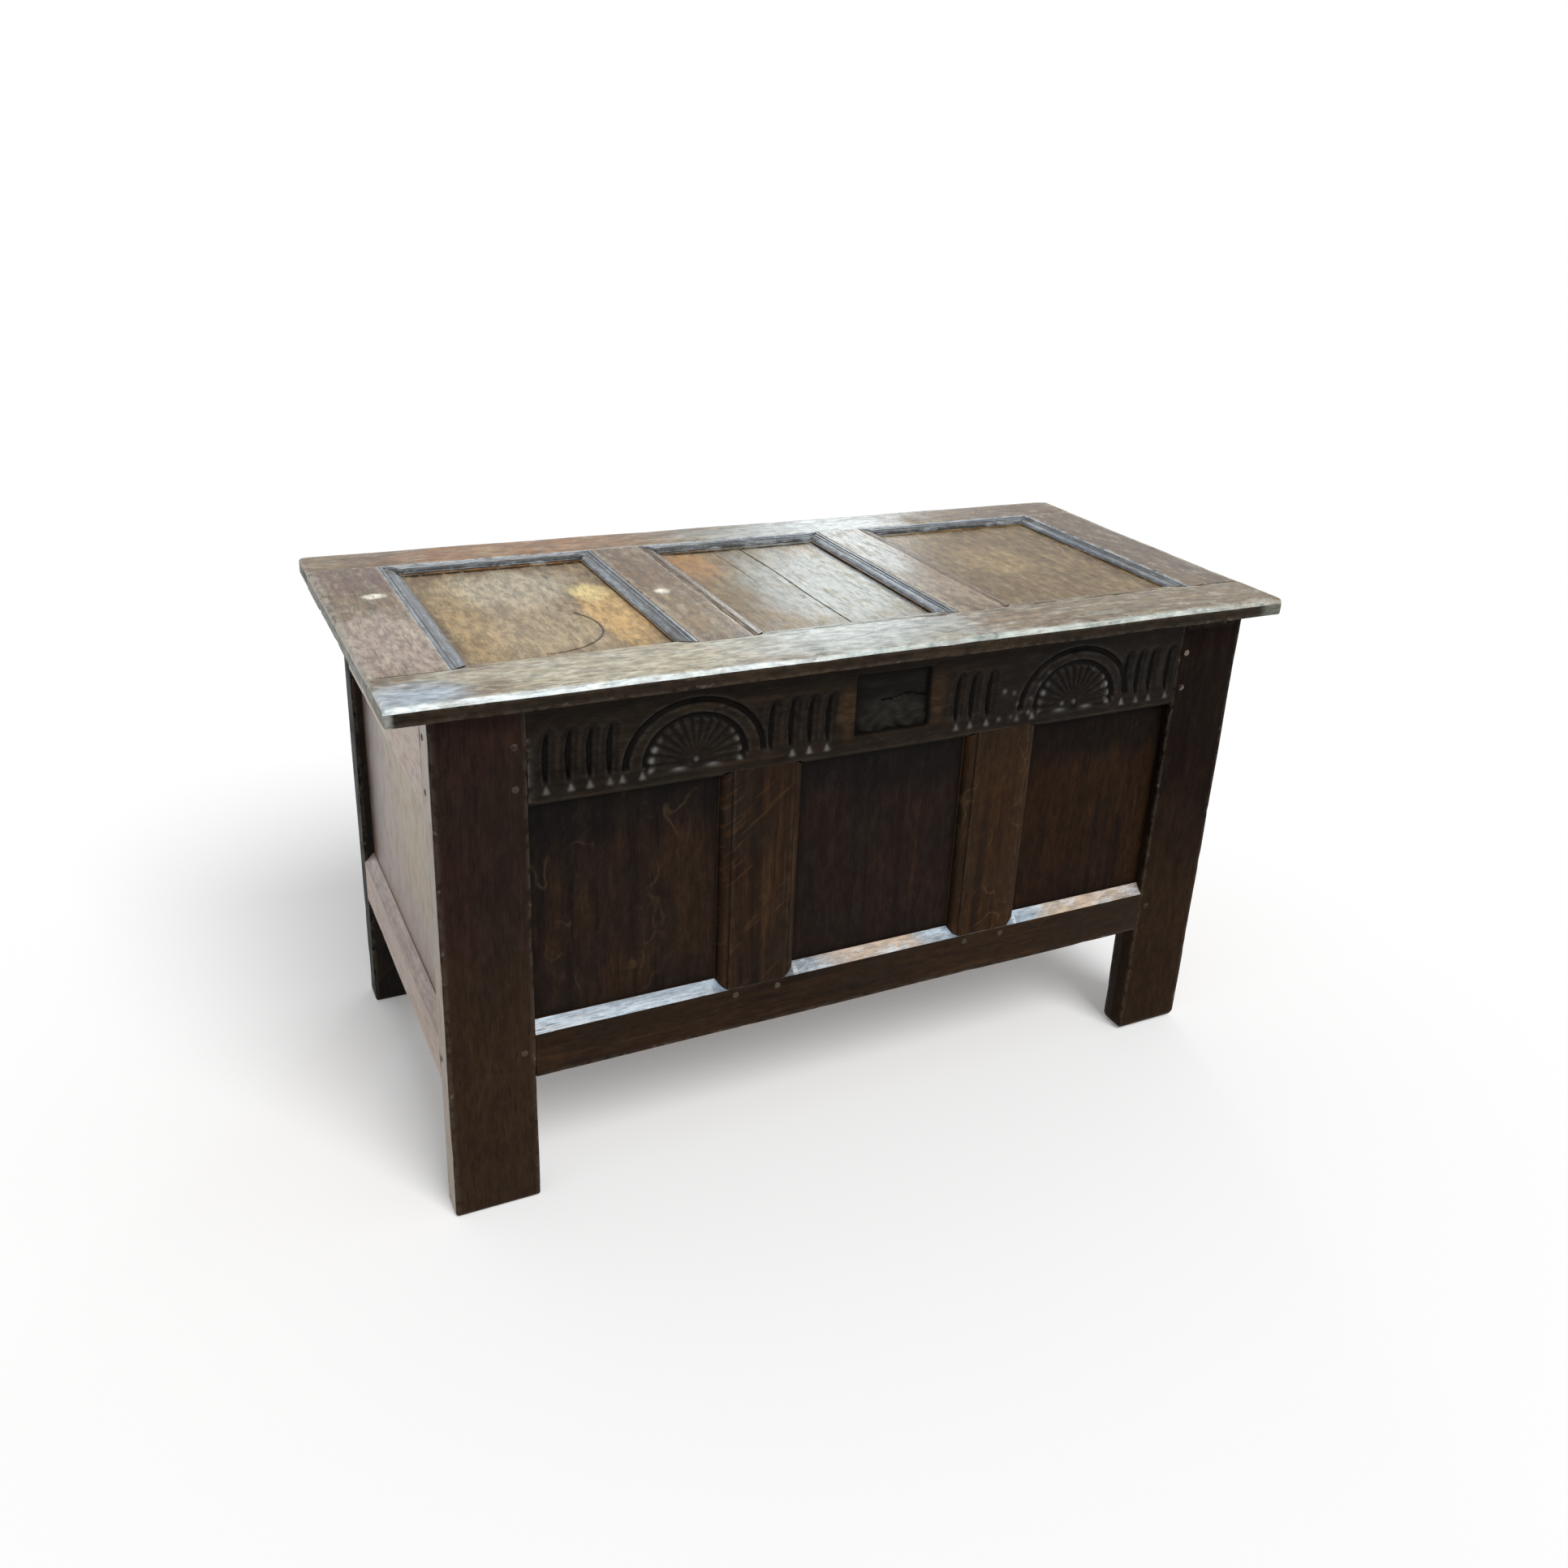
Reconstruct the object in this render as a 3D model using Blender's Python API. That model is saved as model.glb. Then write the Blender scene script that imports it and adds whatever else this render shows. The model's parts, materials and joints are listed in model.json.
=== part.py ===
"""A joined oak coffer: a panelled chest with a plain frieze rail and a framed lid on two iron hinges.

Units are metres. X runs along the front to the viewer's right, Y from the front to the back, and Z up from
the floor. Each wall is modelled in its own frame: x along the wall, y inwards from its outer face, z up.
"""

import math

import bmesh
import bpy
from mathutils import Matrix, Vector

# The body, without the lid
BODY_W = 1.150
BODY_D = 0.558
BODY_H = 0.682
LEG_H = 0.183

# Stiles, rails and muntins
STILE_W = 0.108
STILE_T = 0.042
RAIL_T = 0.030
TOP_RAIL_H = 0.130
BOTTOM_RAIL_H = 0.0775
FRONT_MUNTIN_W = 0.112
FRONT_LEFT_MUNTIN_X = -0.170
FRONT_RIGHT_MUNTIN_X = 0.183
REAR_MUNTIN_W = 0.100
REAR_MUNTIN_X = 0.176

# Run mouldings and chamfers round the openings
MUNTIN_MOULD_W = 0.014
RAIL_MOULD_W = 0.008
CHAMFER_H = 0.0145
MOULD_DEPTH = 0.013

# The profile of a moulding and a chamfer, as shares of their depth and width
MOULD_STEP = 0.15
MOULD_FALL = 0.03
MOULD_LEDGE = 0.80
MOULD_FLAT = 0.10
MOULD_ARC_STEPS = 4
CHAMFER_FLAT = 0.05

# Panels and the grooves that hold them
PANEL_T = 0.010
PANEL_RECESS = 0.014
GROOVE = 0.010

# Tenons and the pegs through them
TENON_T = 0.009
TENON_SHOULDER = 0.012
RAIL_TENON_L = 0.055
SIDE_TENON_L = 0.028
MUNTIN_TENON_L = 0.030
MUNTIN_TENON_W = 0.080
PEG_R = 0.0045
PEG_SIDES = 10
PEG_PROUD = 0.0006
PEG_COVER = 0.005
PEG_SET = 0.014
TOP_PEG_LOW = 0.028
TOP_PEG_HIGH = 0.080
BOTTOM_PEG_RISE = 0.040
MUNTIN_PEG_SPREAD = 0.030
MUNTIN_PEG_DROP = 0.010

# The oak patch let into the frieze where a lock once was
PATCH_W = 0.106
PATCH_H = 0.080
PATCH_X = 0.006
PATCH_RISE = 0.030
PATCH_T = 0.008
PATCH_SUNK = 0.003

# Floor boards
FLOOR_BOARDS = 5
FLOOR_T = 0.012
FLOOR_RISE = 0.012
FLOOR_GROOVE = 0.008

# The lid
LID_T = 0.0235
LID_OVER_FRONT = 0.024
LID_OVER_SIDE = 0.048
LID_OVER_BACK = 0.003
LID_FRONT_RAIL_W = 0.098
LID_BACK_RAIL_W = 0.080
LID_STILE_W = 0.098
LID_MUNTIN_W = 0.083
LID_LEFT_MUNTIN_X = -0.195
LID_RIGHT_MUNTIN_X = 0.174
LID_MOULD_W = 0.018
LID_MOULD_DEPTH = 0.0065
LID_RECESS = 0.009
LID_PANEL_T = 0.009
LID_GROOVE = 0.008
LID_TENON_T = 0.008
LID_TENON_L = 0.045
LID_TENON_SHOULDER = 0.016
LID_NOSE_R = 0.006
LID_NOSE_STEPS = 3

# Hinges, set in from the body's ends
HINGE_INSET = 0.195
HINGE_W = 0.048
HINGE_FLARE_W = 0.066
LEAF_L = 0.060
LEAF_T = 0.0025
BARREL_R = 0.005
BARREL_SIDES = 20
LID_KNUCKLE_W = 0.018
KNUCKLE_GAP = 0.0005
BARREL_GAP = 0.0006
PIN_R = 0.0025
PIN_SIDES = 16
PIN_OUT = 0.0015
PLATE_DROP = 0.0015
WEB_T = 0.0022
WEB_INSET = 0.0008

# Clearances: between faces, at the ends of tenons and panels, and what a cutter reaches past its piece
FIT = 0.0003
END_PLAY = 0.0015
PAST = 0.004

# Faces that meet at less than this are shaded as one round surface
SMOOTH_UP_TO = math.radians(40.0)

# Places worked out from the sizes above
LOW_SIGHT = LEG_H + BOTTOM_RAIL_H
HIGH_SIGHT = BODY_H - TOP_RAIL_H
BOTTOM_TENON = (LEG_H + TENON_SHOULDER, LOW_SIGHT - CHAMFER_H)
TOP_TENON = (HIGH_SIGHT + TENON_SHOULDER, BODY_H - TENON_SHOULDER)
INNER_X = BODY_W / 2 - STILE_W
SIDE_REACH = BODY_D / 2 - STILE_T
LID_HALF_W = BODY_W / 2 + LID_OVER_SIDE
LID_D = BODY_D + LID_OVER_FRONT + LID_OVER_BACK
KNUCKLE_SET = BARREL_R + BARREL_GAP
LID_BACK = -KNUCKLE_SET
LID_FRONT = LID_BACK - LID_D
BACK_FACE = LID_BACK - LID_OVER_BACK
REAR_REACH = KNUCKLE_SET + LID_OVER_BACK + BARREL_R
FRONT_Y = (LID_OVER_FRONT - REAR_REACH - BODY_D) / 2
BACK_Y = FRONT_Y + BODY_D
MID_Y = (FRONT_Y + BACK_Y) / 2
PIN_Y = BACK_Y - BACK_FACE
PIN_Z = BODY_H + FIT
HINGE_X = BODY_W / 2 - HINGE_INSET

# Finishes: colour, roughness, metallic
DARK_OAK = ((0.060, 0.036, 0.024), 0.45, 0.0)
WARM_OAK = ((0.095, 0.055, 0.030), 0.45, 0.0)
PANEL_OAK = ((0.050, 0.031, 0.023), 0.50, 0.0)
WORN_OAK = ((0.290, 0.215, 0.150), 0.50, 0.0)
BARE_OAK = ((0.230, 0.160, 0.100), 0.75, 0.0)
IRON = ((0.055, 0.052, 0.050), 0.60, 0.9)


def collection(name):
    made = bpy.data.collections.new(name)
    bpy.context.scene.collection.children.link(made)
    return made


def clear_scene():
    for obj in list(bpy.data.objects):
        bpy.data.objects.remove(obj, do_unlink=True)


clear_scene()
COFFER = collection("coffer")
CUTTERS = collection("cutters")


def finish(name, look):
    """A material of the piece's own."""
    colour, roughness, metallic = look
    made = bpy.data.materials.new(name)
    made.use_nodes = True
    shader = made.node_tree.nodes["Principled BSDF"]
    shader.inputs["Base Color"].default_value = (*colour, 1.0)
    shader.inputs["Roughness"].default_value = roughness
    shader.inputs["Metallic"].default_value = metallic
    made.diffuse_color = (*colour, 1.0)
    return made


def empty(name, place, turn=0.0):
    made = bpy.data.objects.new(name, None)
    made.location = place
    made.rotation_euler = (0.0, 0.0, math.radians(turn))
    COFFER.objects.link(made)
    return made


def as_object(name, bm, parent, home):
    bmesh.ops.recalc_face_normals(bm, faces=bm.faces)
    mesh = bpy.data.meshes.new(name)
    bm.to_mesh(mesh)
    bm.free()
    mesh.shade_smooth()
    mesh.set_sharp_from_angle(angle=SMOOTH_UP_TO)
    made = bpy.data.objects.new(name, mesh)
    made.parent = parent
    home.objects.link(made)
    return made


def piece(name, bm, parent, look):
    made = as_object(name, bm, parent, COFFER)
    made.data.materials.append(finish(name, look))
    return made


def helper(name, bm, parent):
    """A solid that only cuts or extends a piece."""
    made = as_object(name, bm, parent, CUTTERS)
    made.hide_render = True
    made.display_type = "WIRE"
    return made


def combine(target, other, operation):
    step = target.modifiers.new(other.name, "BOOLEAN")
    step.operation = operation
    step.solver = "EXACT"
    step.object = other


def cut(target, other):
    combine(target, other, "DIFFERENCE")


def fuse(target, other):
    combine(target, other, "UNION")


def box(low, high):
    low, high = Vector(low), Vector(high)
    bm = bmesh.new()
    size = Matrix.Diagonal((*(high - low), 1.0))
    bmesh.ops.create_cube(bm, size=1.0, matrix=Matrix.Translation((low + high) / 2) @ size)
    return bm


def grown(low, high, by):
    """The corners of a box made larger by the same amount on every side."""
    by = Vector((by, by, by))
    return Vector(low) - by, Vector(high) + by


def distinct(points):
    """An outline without the points that repeat the one before."""
    return [p for i, p in enumerate(points) if p != points[i - 1]]


def upright(a, b, depth):
    """An outline point of a wall: a along it, b up, depth inwards."""
    return (a, depth, b)


def level(a, b, height):
    """An outline point of a flat piece: a along x, b along y, at a height."""
    return (a, b, height)


def down_from_lid_top(a, b, depth):
    """A point below the lid's top face."""
    return (a, b, LID_T - depth)


def prism(outline, start, end, to_space):
    """A flat outline pushed from start to end, square to its plane."""
    bm = bmesh.new()
    face = bm.faces.new([bm.verts.new(to_space(a, b, start)) for a, b in distinct(outline)])
    pushed = bmesh.ops.extrude_face_region(bm, geom=[face])["geom"]
    corners = [part for part in pushed if isinstance(part, bmesh.types.BMVert)]
    way = Vector(to_space(0.0, 0.0, end)) - Vector(to_space(0.0, 0.0, start))
    bmesh.ops.translate(bm, verts=corners, vec=way)
    return bm


def rod(start, end, radius, sides):
    """A round bar between two points."""
    start, end = Vector(start), Vector(end)
    way = end - start
    turn = way.to_track_quat("Z", "Y").to_matrix().to_4x4()
    bm = bmesh.new()
    bmesh.ops.create_cone(
        bm, cap_ends=True, segments=sides, radius1=radius, radius2=radius, depth=way.length,
        matrix=Matrix.Translation((start + end) / 2) @ turn,
    )
    return bm


def lofted(rings):
    """A solid through closed rings of equal counts."""
    bm = bmesh.new()
    loops = [[bm.verts.new(point) for point in ring] for ring in rings]
    for near, far in zip(loops, loops[1:]):
        for i in range(len(near)):
            bm.faces.new((near[i - 1], near[i], far[i], far[i - 1]))
    bm.faces.new(loops[0])
    bm.faces.new(loops[-1])
    return bm


def edge_profile(depth):
    """Rows of depth, share of a moulding's width and share of a chamfer's height, from the face inwards.

    The moulding is a small step, a ledge and a quarter round. The chamfer is straight.
    """
    rows = [(-PAST, 1.0), (0.0, 1.0), (MOULD_STEP * depth, 1.0)]
    ledge = MOULD_STEP + MOULD_FALL
    for i in range(MOULD_ARC_STEPS + 1):
        turn = i / MOULD_ARC_STEPS
        bulge = 1.0 - math.sqrt(1.0 - (1.0 - turn) ** 2)
        width = MOULD_FLAT + (MOULD_LEDGE - MOULD_FLAT) * bulge
        rows.append(((ledge + (1.0 - ledge) * turn) * depth, width))
    return [(d, mould, 1.0 - (1.0 - CHAMFER_FLAT) * max(d, 0.0) / depth) for d, mould in rows]


def opening(sight, widths, depth, to_space, chamfered):
    """The space in front of a panel: the sight size, spread towards the face by each edge's own width."""
    (a0, a1), (b0, b1) = sight
    left, right, bottom, top = widths
    rings = []
    for d, mould, chamfer in edge_profile(depth):
        low = b0 - bottom * (chamfer if chamfered else mould)
        high = b1 + top * mould
        near, far = a0 - left * mould, a1 + right * mould
        rings.append([to_space(a, b, d) for a, b in ((near, low), (far, low), (far, high), (near, high))])
    return lofted(rings)


def tenon(name, rail, host, parent, low, high, axis, root_high):
    """Fuses a tenon to the rail and cuts its mortise in the host. The root is at its high or low end."""
    tongue_low, tongue_high = Vector(low), Vector(high)
    slot_low, slot_high = grown(low, high, FIT)
    if root_high:
        tongue_high[axis] += PAST
        slot_high[axis] += PAST
        slot_low[axis] -= END_PLAY
    else:
        tongue_low[axis] -= PAST
        slot_low[axis] -= PAST
        slot_high[axis] += END_PLAY
    fuse(rail, helper(name + "_tenon", box(tongue_low, tongue_high), parent))
    cut(host, helper(name + "_mortise", box(slot_low, slot_high), parent))


def end_tenons(rail, hosts, parent, root, length, span):
    """Joins both ends of a rail, at root from the wall's middle, to the stiles."""
    near, far = tenon_depth()
    low, high = span
    tip = root + length
    tenon(f"{rail.name}_low_x", rail, hosts[0], parent, (-tip, near, low), (-root, far, high), 0, True)
    tenon(f"{rail.name}_high_x", rail, hosts[1], parent, (root, near, low), (tip, far, high), 0, False)


def tenon_depth():
    """Where a tenon lies in a wall, in line with the panel's groove."""
    middle = PANEL_RECESS + FIT + PANEL_T / 2
    return middle - TENON_T / 2, middle + TENON_T / 2


def panel(name, parent, x0, x1, look, holders):
    """A wall's panel in the grooves of the members that hold it."""
    reach = GROOVE - END_PLAY
    front, back = PANEL_RECESS + FIT, PANEL_RECESS + FIT + PANEL_T
    solid = box((x0 - reach, front, LOW_SIGHT - reach), (x1 + reach, back, HIGH_SIGHT + reach))
    made = piece(name, solid, parent, look)
    low = (x0 - GROOVE, front - FIT, LOW_SIGHT - GROOVE)
    high = (x1 + GROOVE, back + FIT, HIGH_SIGHT + GROOVE)
    pocket = helper(name + "_groove", box(low, high), parent)
    for holder in holders:
        cut(holder, pocket)
    return made


def stile(name, parent, sign, look):
    outer, inner = sorted((sign * BODY_W / 2, sign * INNER_X))
    return piece(name, box((outer, 0.0, 0.0), (inner, STILE_T, BODY_H)), parent, look)


def long_rail(name, parent, muntins, muntin_w, mould_w, sight, edge, far, look):
    """A front or rear rail. Its edge at the panels steps back by edge where a muntin meets it."""
    end = INNER_X - FIT
    outline = [(-end, sight)]
    for x in muntins:
        spread, face = muntin_w / 2, muntin_w / 2 - mould_w
        outline += [(x - spread, sight), (x - face, edge), (x + face, edge), (x + spread, sight)]
    outline += [(end, sight), (end, far), (-end, far)]
    return piece(name, prism(outline, 0.0, RAIL_T, upright), parent, look)


def long_muntin(name, parent, x, width, mould_w, low_edge, high_edge, look):
    spread, face = width / 2, width / 2 - mould_w
    outline = [
        (x - face, low_edge + FIT), (x + face, low_edge + FIT), (x + spread, LOW_SIGHT + FIT),
        (x + spread, HIGH_SIGHT - FIT), (x + face, high_edge - FIT), (x - face, high_edge - FIT),
        (x - spread, HIGH_SIGHT - FIT), (x - spread, LOW_SIGHT + FIT),
    ]
    return piece(name, prism(outline, 0.0, RAIL_T, upright), parent, look)


def long_wall(side, parent, ends, muntins, muntin_w, mould_w, chamfer_h, rail_mould_w, looks):
    """The front or the rear: two stiles, two rails, two muntins and three panels. Returns its members."""
    frame_look, panel_look = looks
    low_edge, high_edge = LOW_SIGHT - chamfer_h, HIGH_SIGHT + rail_mould_w
    near, far = tenon_depth()
    stiles = [stile(f"{side}_{end}_stile", parent, sign, frame_look) for end, sign in zip(ends, (-1, 1))]
    bottom = long_rail(
        f"{side}_bottom_rail", parent, muntins, muntin_w, mould_w, LOW_SIGHT, low_edge, LEG_H, frame_look
    )
    top = long_rail(
        f"{side}_top_rail", parent, muntins, muntin_w, mould_w, HIGH_SIGHT, high_edge, BODY_H, frame_look
    )
    posts = [
        long_muntin(f"{side}_{end}_muntin", parent, x, muntin_w, mould_w, low_edge, high_edge, frame_look)
        for end, x in zip(ends, muntins)
    ]
    end_tenons(bottom, stiles, parent, INNER_X, RAIL_TENON_L, BOTTOM_TENON)
    end_tenons(top, stiles, parent, INNER_X, RAIL_TENON_L, TOP_TENON)
    half = MUNTIN_TENON_W / 2
    for post, x in zip(posts, muntins):
        low = (x - half, near, low_edge - MUNTIN_TENON_L)
        tenon(f"{post.name}_low", post, bottom, parent, low, (x + half, far, low_edge), 2, True)
        high = (x + half, far, high_edge + MUNTIN_TENON_L)
        tenon(f"{post.name}_high", post, top, parent, (x - half, near, high_edge), high, 2, False)

    edges = [-INNER_X, muntins[0] - muntin_w / 2, muntins[0] + muntin_w / 2]
    edges += [muntins[1] - muntin_w / 2, muntins[1] + muntin_w / 2, INNER_X]
    uprights = [stiles[0], *posts, stiles[1]]
    names = (ends[0], "middle", ends[1])
    for i, name in enumerate(names):
        x0, x1 = edges[2 * i], edges[2 * i + 1]
        holders = [uprights[i], uprights[i + 1], bottom, top]
        panel(f"{side}_{name}_panel", parent, x0, x1, panel_look, holders)
        if mould_w:
            left = 0.0 if name == names[0] else mould_w
            right = 0.0 if name == names[-1] else mould_w
            widths = (left, right, chamfer_h, rail_mould_w)
            space = opening(((x0, x1), (LOW_SIGHT, HIGH_SIGHT)), widths, MOULD_DEPTH, upright, True)
            run = helper(f"{side}_{name}_moulding", space, parent)
            for member in (*posts, bottom, top):
                cut(member, run)
    return {"stiles": stiles, "bottom": bottom, "top": top, "muntins": posts}


def short_wall(side, parent, hosts, looks):
    """An end of the body: two rails and a wide panel between the front and rear stiles."""
    frame_look, panel_look = looks
    end = SIDE_REACH - FIT
    rails = {}
    places = (("bottom", LEG_H, LOW_SIGHT, BOTTOM_TENON), ("top", HIGH_SIGHT, BODY_H, TOP_TENON))
    for name, z0, z1, span in places:
        solid = box((-end, 0.0, z0), (end, RAIL_T, z1))
        rails[name] = piece(f"{side}_{name}_rail", solid, parent, frame_look)
        end_tenons(rails[name], hosts, parent, SIDE_REACH, SIDE_TENON_L, span)
    holders = [*hosts, rails["bottom"], rails["top"]]
    panel(f"{side}_panel", parent, -SIDE_REACH, SIDE_REACH, panel_look, holders)
    sight = (-SIDE_REACH, SIDE_REACH), (LOW_SIGHT, HIGH_SIGHT)
    space = opening(sight, (0.0, 0.0, CHAMFER_H, 0.0), MOULD_DEPTH, upright, True)
    cut(rails["bottom"], helper(f"{side}_chamfer", space, parent))
    return rails


def peg(name, parent, x, z, holders):
    """A draw peg driven in from the wall's face, through the joint."""
    depth = RAIL_T - PEG_COVER
    piece(name, rod((x, -PEG_PROUD, z), (x, depth, z), PEG_R, PEG_SIDES), parent, WARM_OAK)
    bore = rod((x, -PAST, z), (x, depth + END_PLAY, z), PEG_R + FIT, PEG_SIDES)
    hole = helper(name + "_hole", bore, parent)
    for holder in holders:
        cut(holder, hole)


def front_pegs(parent, wall):
    for end, sign, post in zip(("left", "right"), (-1, 1), wall["stiles"]):
        x = sign * (INNER_X + PEG_SET)
        peg(f"peg_{end}_top_lower", parent, x, HIGH_SIGHT + TOP_PEG_LOW, (post, wall["top"]))
        peg(f"peg_{end}_top_upper", parent, x, HIGH_SIGHT + TOP_PEG_HIGH, (post, wall["top"]))
        peg(f"peg_{end}_bottom", parent, x, LEG_H + BOTTOM_PEG_RISE, (post, wall["bottom"]))
    z = LOW_SIGHT - CHAMFER_H - MUNTIN_PEG_DROP
    places = (("left", FRONT_LEFT_MUNTIN_X), ("right", FRONT_RIGHT_MUNTIN_X))
    for (end, x), muntin in zip(places, wall["muntins"]):
        for name, sign in (("a", -1), ("b", 1)):
            holders = (muntin, wall["bottom"])
            peg(f"peg_{end}_muntin_{name}", parent, x + sign * MUNTIN_PEG_SPREAD, z, holders)


def lock_patch(parent, rail):
    low = Vector((PATCH_X - PATCH_W / 2, PATCH_SUNK, HIGH_SIGHT + PATCH_RISE))
    high = low + Vector((PATCH_W, PATCH_T, PATCH_H))
    piece("lock_patch", box(low, high), parent, PANEL_OAK)
    hole_low, hole_high = grown(low, high, FIT)
    hole_low.y = -PAST
    cut(rail, helper("lock_patch_recess", box(hole_low, hole_high), parent))


def floor_boards(parent, bottom_rails):
    """Boards from front to back, in a groove round the bottom rails and notched round the stiles."""
    inset = RAIL_T - FLOOR_GROOVE
    hole_x, hole_y = BODY_W / 2 - inset, BODY_D / 2 - inset
    pocket = helper("floor_groove", box((-hole_x, -hole_y, -FIT), (hole_x, hole_y, FLOOR_T + FIT)), parent)
    for rail in bottom_rails:
        cut(rail, pocket)
    half_x, half_y = hole_x - END_PLAY, hole_y - END_PLAY
    width = 2 * half_x / FLOOR_BOARDS
    boards = []
    for i in range(FLOOR_BOARDS):
        x0 = -half_x + i * width
        solid = box((x0 + FIT / 2, -half_y, 0.0), (x0 + width - FIT / 2, half_y, FLOOR_T))
        boards.append(piece(f"floor_board_{i + 1}", solid, parent, BARE_OAK))
    for board, sign_x in ((boards[0], -1), (boards[-1], 1)):
        for name, sign_y in (("front", -1), ("rear", 1)):
            xs = sorted((sign_x * (INNER_X - FIT), sign_x * (BODY_W / 2 + PAST)))
            ys = sorted((sign_y * (SIDE_REACH - FIT), sign_y * (BODY_D / 2 + PAST)))
            notch = box((xs[0], ys[0], -PAST), (xs[1], ys[1], FLOOR_T + PAST))
            cut(board, helper(f"{board.name}_{name}_notch", notch, parent))


def round_top_edges(bm, on_edge):
    """Rounds the top edges whose two ends satisfy on_edge."""
    def picked(edge):
        return all(abs(v.co.z - LID_T) < FIT and on_edge(v.co) for v in edge.verts)

    edges = [edge for edge in bm.edges if picked(edge)]
    bmesh.ops.bevel(bm, geom=edges, offset=LID_NOSE_R, segments=LID_NOSE_STEPS, profile=0.5, affect="EDGES")


def lid_rail(name, parent, outer, face, sight, stops, rounded):
    """A lid rail over the lid's whole length. stops holds the face and sight edges of each panel opening."""
    outline = [(-LID_HALF_W, face)]
    for face0, sight0, sight1, face1 in stops:
        outline += [(face0, face), (sight0, sight), (sight1, sight), (face1, face)]
    outline += [(LID_HALF_W, face), (LID_HALF_W, outer), (-LID_HALF_W, outer)]
    solid = prism(outline, 0.0, LID_T, level)
    if rounded:
        round_top_edges(solid, lambda co: abs(co.y - outer) < FIT)
    return piece(name, solid, parent, WORN_OAK)


def lid_upright(name, parent, faces, sights, y_face, y_sight, nose_x=None):
    """A lid stile or muntin between the rails, with its ends mitred at the mouldings."""
    (face0, face1), (sight0, sight1) = faces, sights
    (low_face, high_face), (low_sight, high_sight) = y_face, y_sight
    outline = [
        (face0, low_face + FIT), (face1, low_face + FIT), (sight1, low_sight + FIT),
        (sight1, high_sight - FIT), (face1, high_face - FIT), (face0, high_face - FIT),
        (sight0, high_sight - FIT), (sight0, low_sight + FIT),
    ]
    solid = prism(outline, 0.0, LID_T, level)
    if nose_x is not None:
        round_top_edges(solid, lambda co: abs(co.x - nose_x) < FIT)
    return piece(name, solid, parent, WORN_OAK)


def lid(parent):
    """The framed lid: rails over the full length, end stiles and muntins between them, three panels."""
    low_face, high_face = LID_FRONT + LID_FRONT_RAIL_W, LID_BACK - LID_BACK_RAIL_W
    low_sight, high_sight = low_face + LID_MOULD_W, high_face - LID_MOULD_W
    end_face = LID_HALF_W - LID_STILE_W
    faces = [-end_face]
    for x in (LID_LEFT_MUNTIN_X, LID_RIGHT_MUNTIN_X):
        faces += [x - LID_MUNTIN_W / 2, x + LID_MUNTIN_W / 2]
    faces.append(end_face)
    stops = [
        (faces[i], faces[i] + LID_MOULD_W, faces[i + 1] - LID_MOULD_W, faces[i + 1]) for i in (0, 2, 4)
    ]
    front = lid_rail("lid_front_rail", parent, LID_FRONT, low_face, low_sight, stops, True)
    back = lid_rail("lid_back_rail", parent, LID_BACK, high_face, high_sight, stops, False)
    y_face, y_sight = (low_face, high_face), (low_sight, high_sight)

    uprights = {}
    for name, sign in (("left", -1), ("right", 1)):
        outer, face, sight = sign * LID_HALF_W, sign * end_face, sign * (end_face - LID_MOULD_W)
        xs, sights = sorted((outer, face)), sorted((outer, sight))
        made = lid_upright(f"lid_{name}_stile", parent, xs, sights, y_face, y_sight, outer)
        uprights[made] = (xs[0] + LID_TENON_SHOULDER, xs[1] - LID_TENON_SHOULDER)
    for name, i in (("left", 1), ("right", 3)):
        xs = (faces[i], faces[i + 1])
        sights = (xs[0] - LID_MOULD_W, xs[1] + LID_MOULD_W)
        made = lid_upright(f"lid_{name}_muntin", parent, xs, sights, y_face, y_sight)
        uprights[made] = (xs[0] + LID_TENON_SHOULDER, xs[1] - LID_TENON_SHOULDER)

    panel_top = LID_T - LID_RECESS
    panel_low = panel_top - LID_PANEL_T
    z0 = (panel_top + panel_low - LID_TENON_T) / 2
    z1 = z0 + LID_TENON_T
    for made, (x0, x1) in uprights.items():
        tip = low_face - LID_TENON_L
        tenon(f"{made.name}_front", made, front, parent, (x0, tip, z0), (x1, low_face, z1), 1, True)
        tip = high_face + LID_TENON_L
        tenon(f"{made.name}_back", made, back, parent, (x0, high_face, z0), (x1, tip, z1), 1, False)

    reach = LID_GROOVE - END_PLAY
    for name, (_, sight0, sight1, _) in zip(("left", "middle", "right"), stops):
        low = (sight0 - reach, low_sight - reach, panel_low)
        high = (sight1 + reach, high_sight + reach, panel_top)
        piece(f"lid_{name}_panel", box(low, high), parent, WORN_OAK)
        low = (sight0 - LID_GROOVE, low_sight - LID_GROOVE, panel_low - FIT)
        high = (sight1 + LID_GROOVE, high_sight + LID_GROOVE, panel_top + FIT)
        pocket = helper(f"lid_{name}_groove", box(low, high), parent)
        sight = (sight0, sight1), (low_sight, high_sight)
        space = opening(sight, [LID_MOULD_W] * 4, LID_MOULD_DEPTH, down_from_lid_top, False)
        run = helper(f"lid_{name}_moulding", space, parent)
        for made in (front, back, *uprights):
            cut(made, pocket)
            cut(made, run)
    return back


def leaf_outline(x, near_w, far_w, near, far, by=0.0):
    """A hinge leaf that widens away from its knuckles, made larger by a clearance where one is given."""
    near_half, far_half = near_w / 2 + by, far_w / 2 + by
    far += math.copysign(by, far - near)
    return [(x - near_half, near), (x + near_half, near), (x + far_half, far), (x - far_half, far)]


def knuckle(name, leaf, parent, x0, x1):
    fuse(leaf, helper(name, rod((x0, 0.0, 0.0), (x1, 0.0, 0.0), BARREL_R, BARREL_SIDES), parent))


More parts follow.
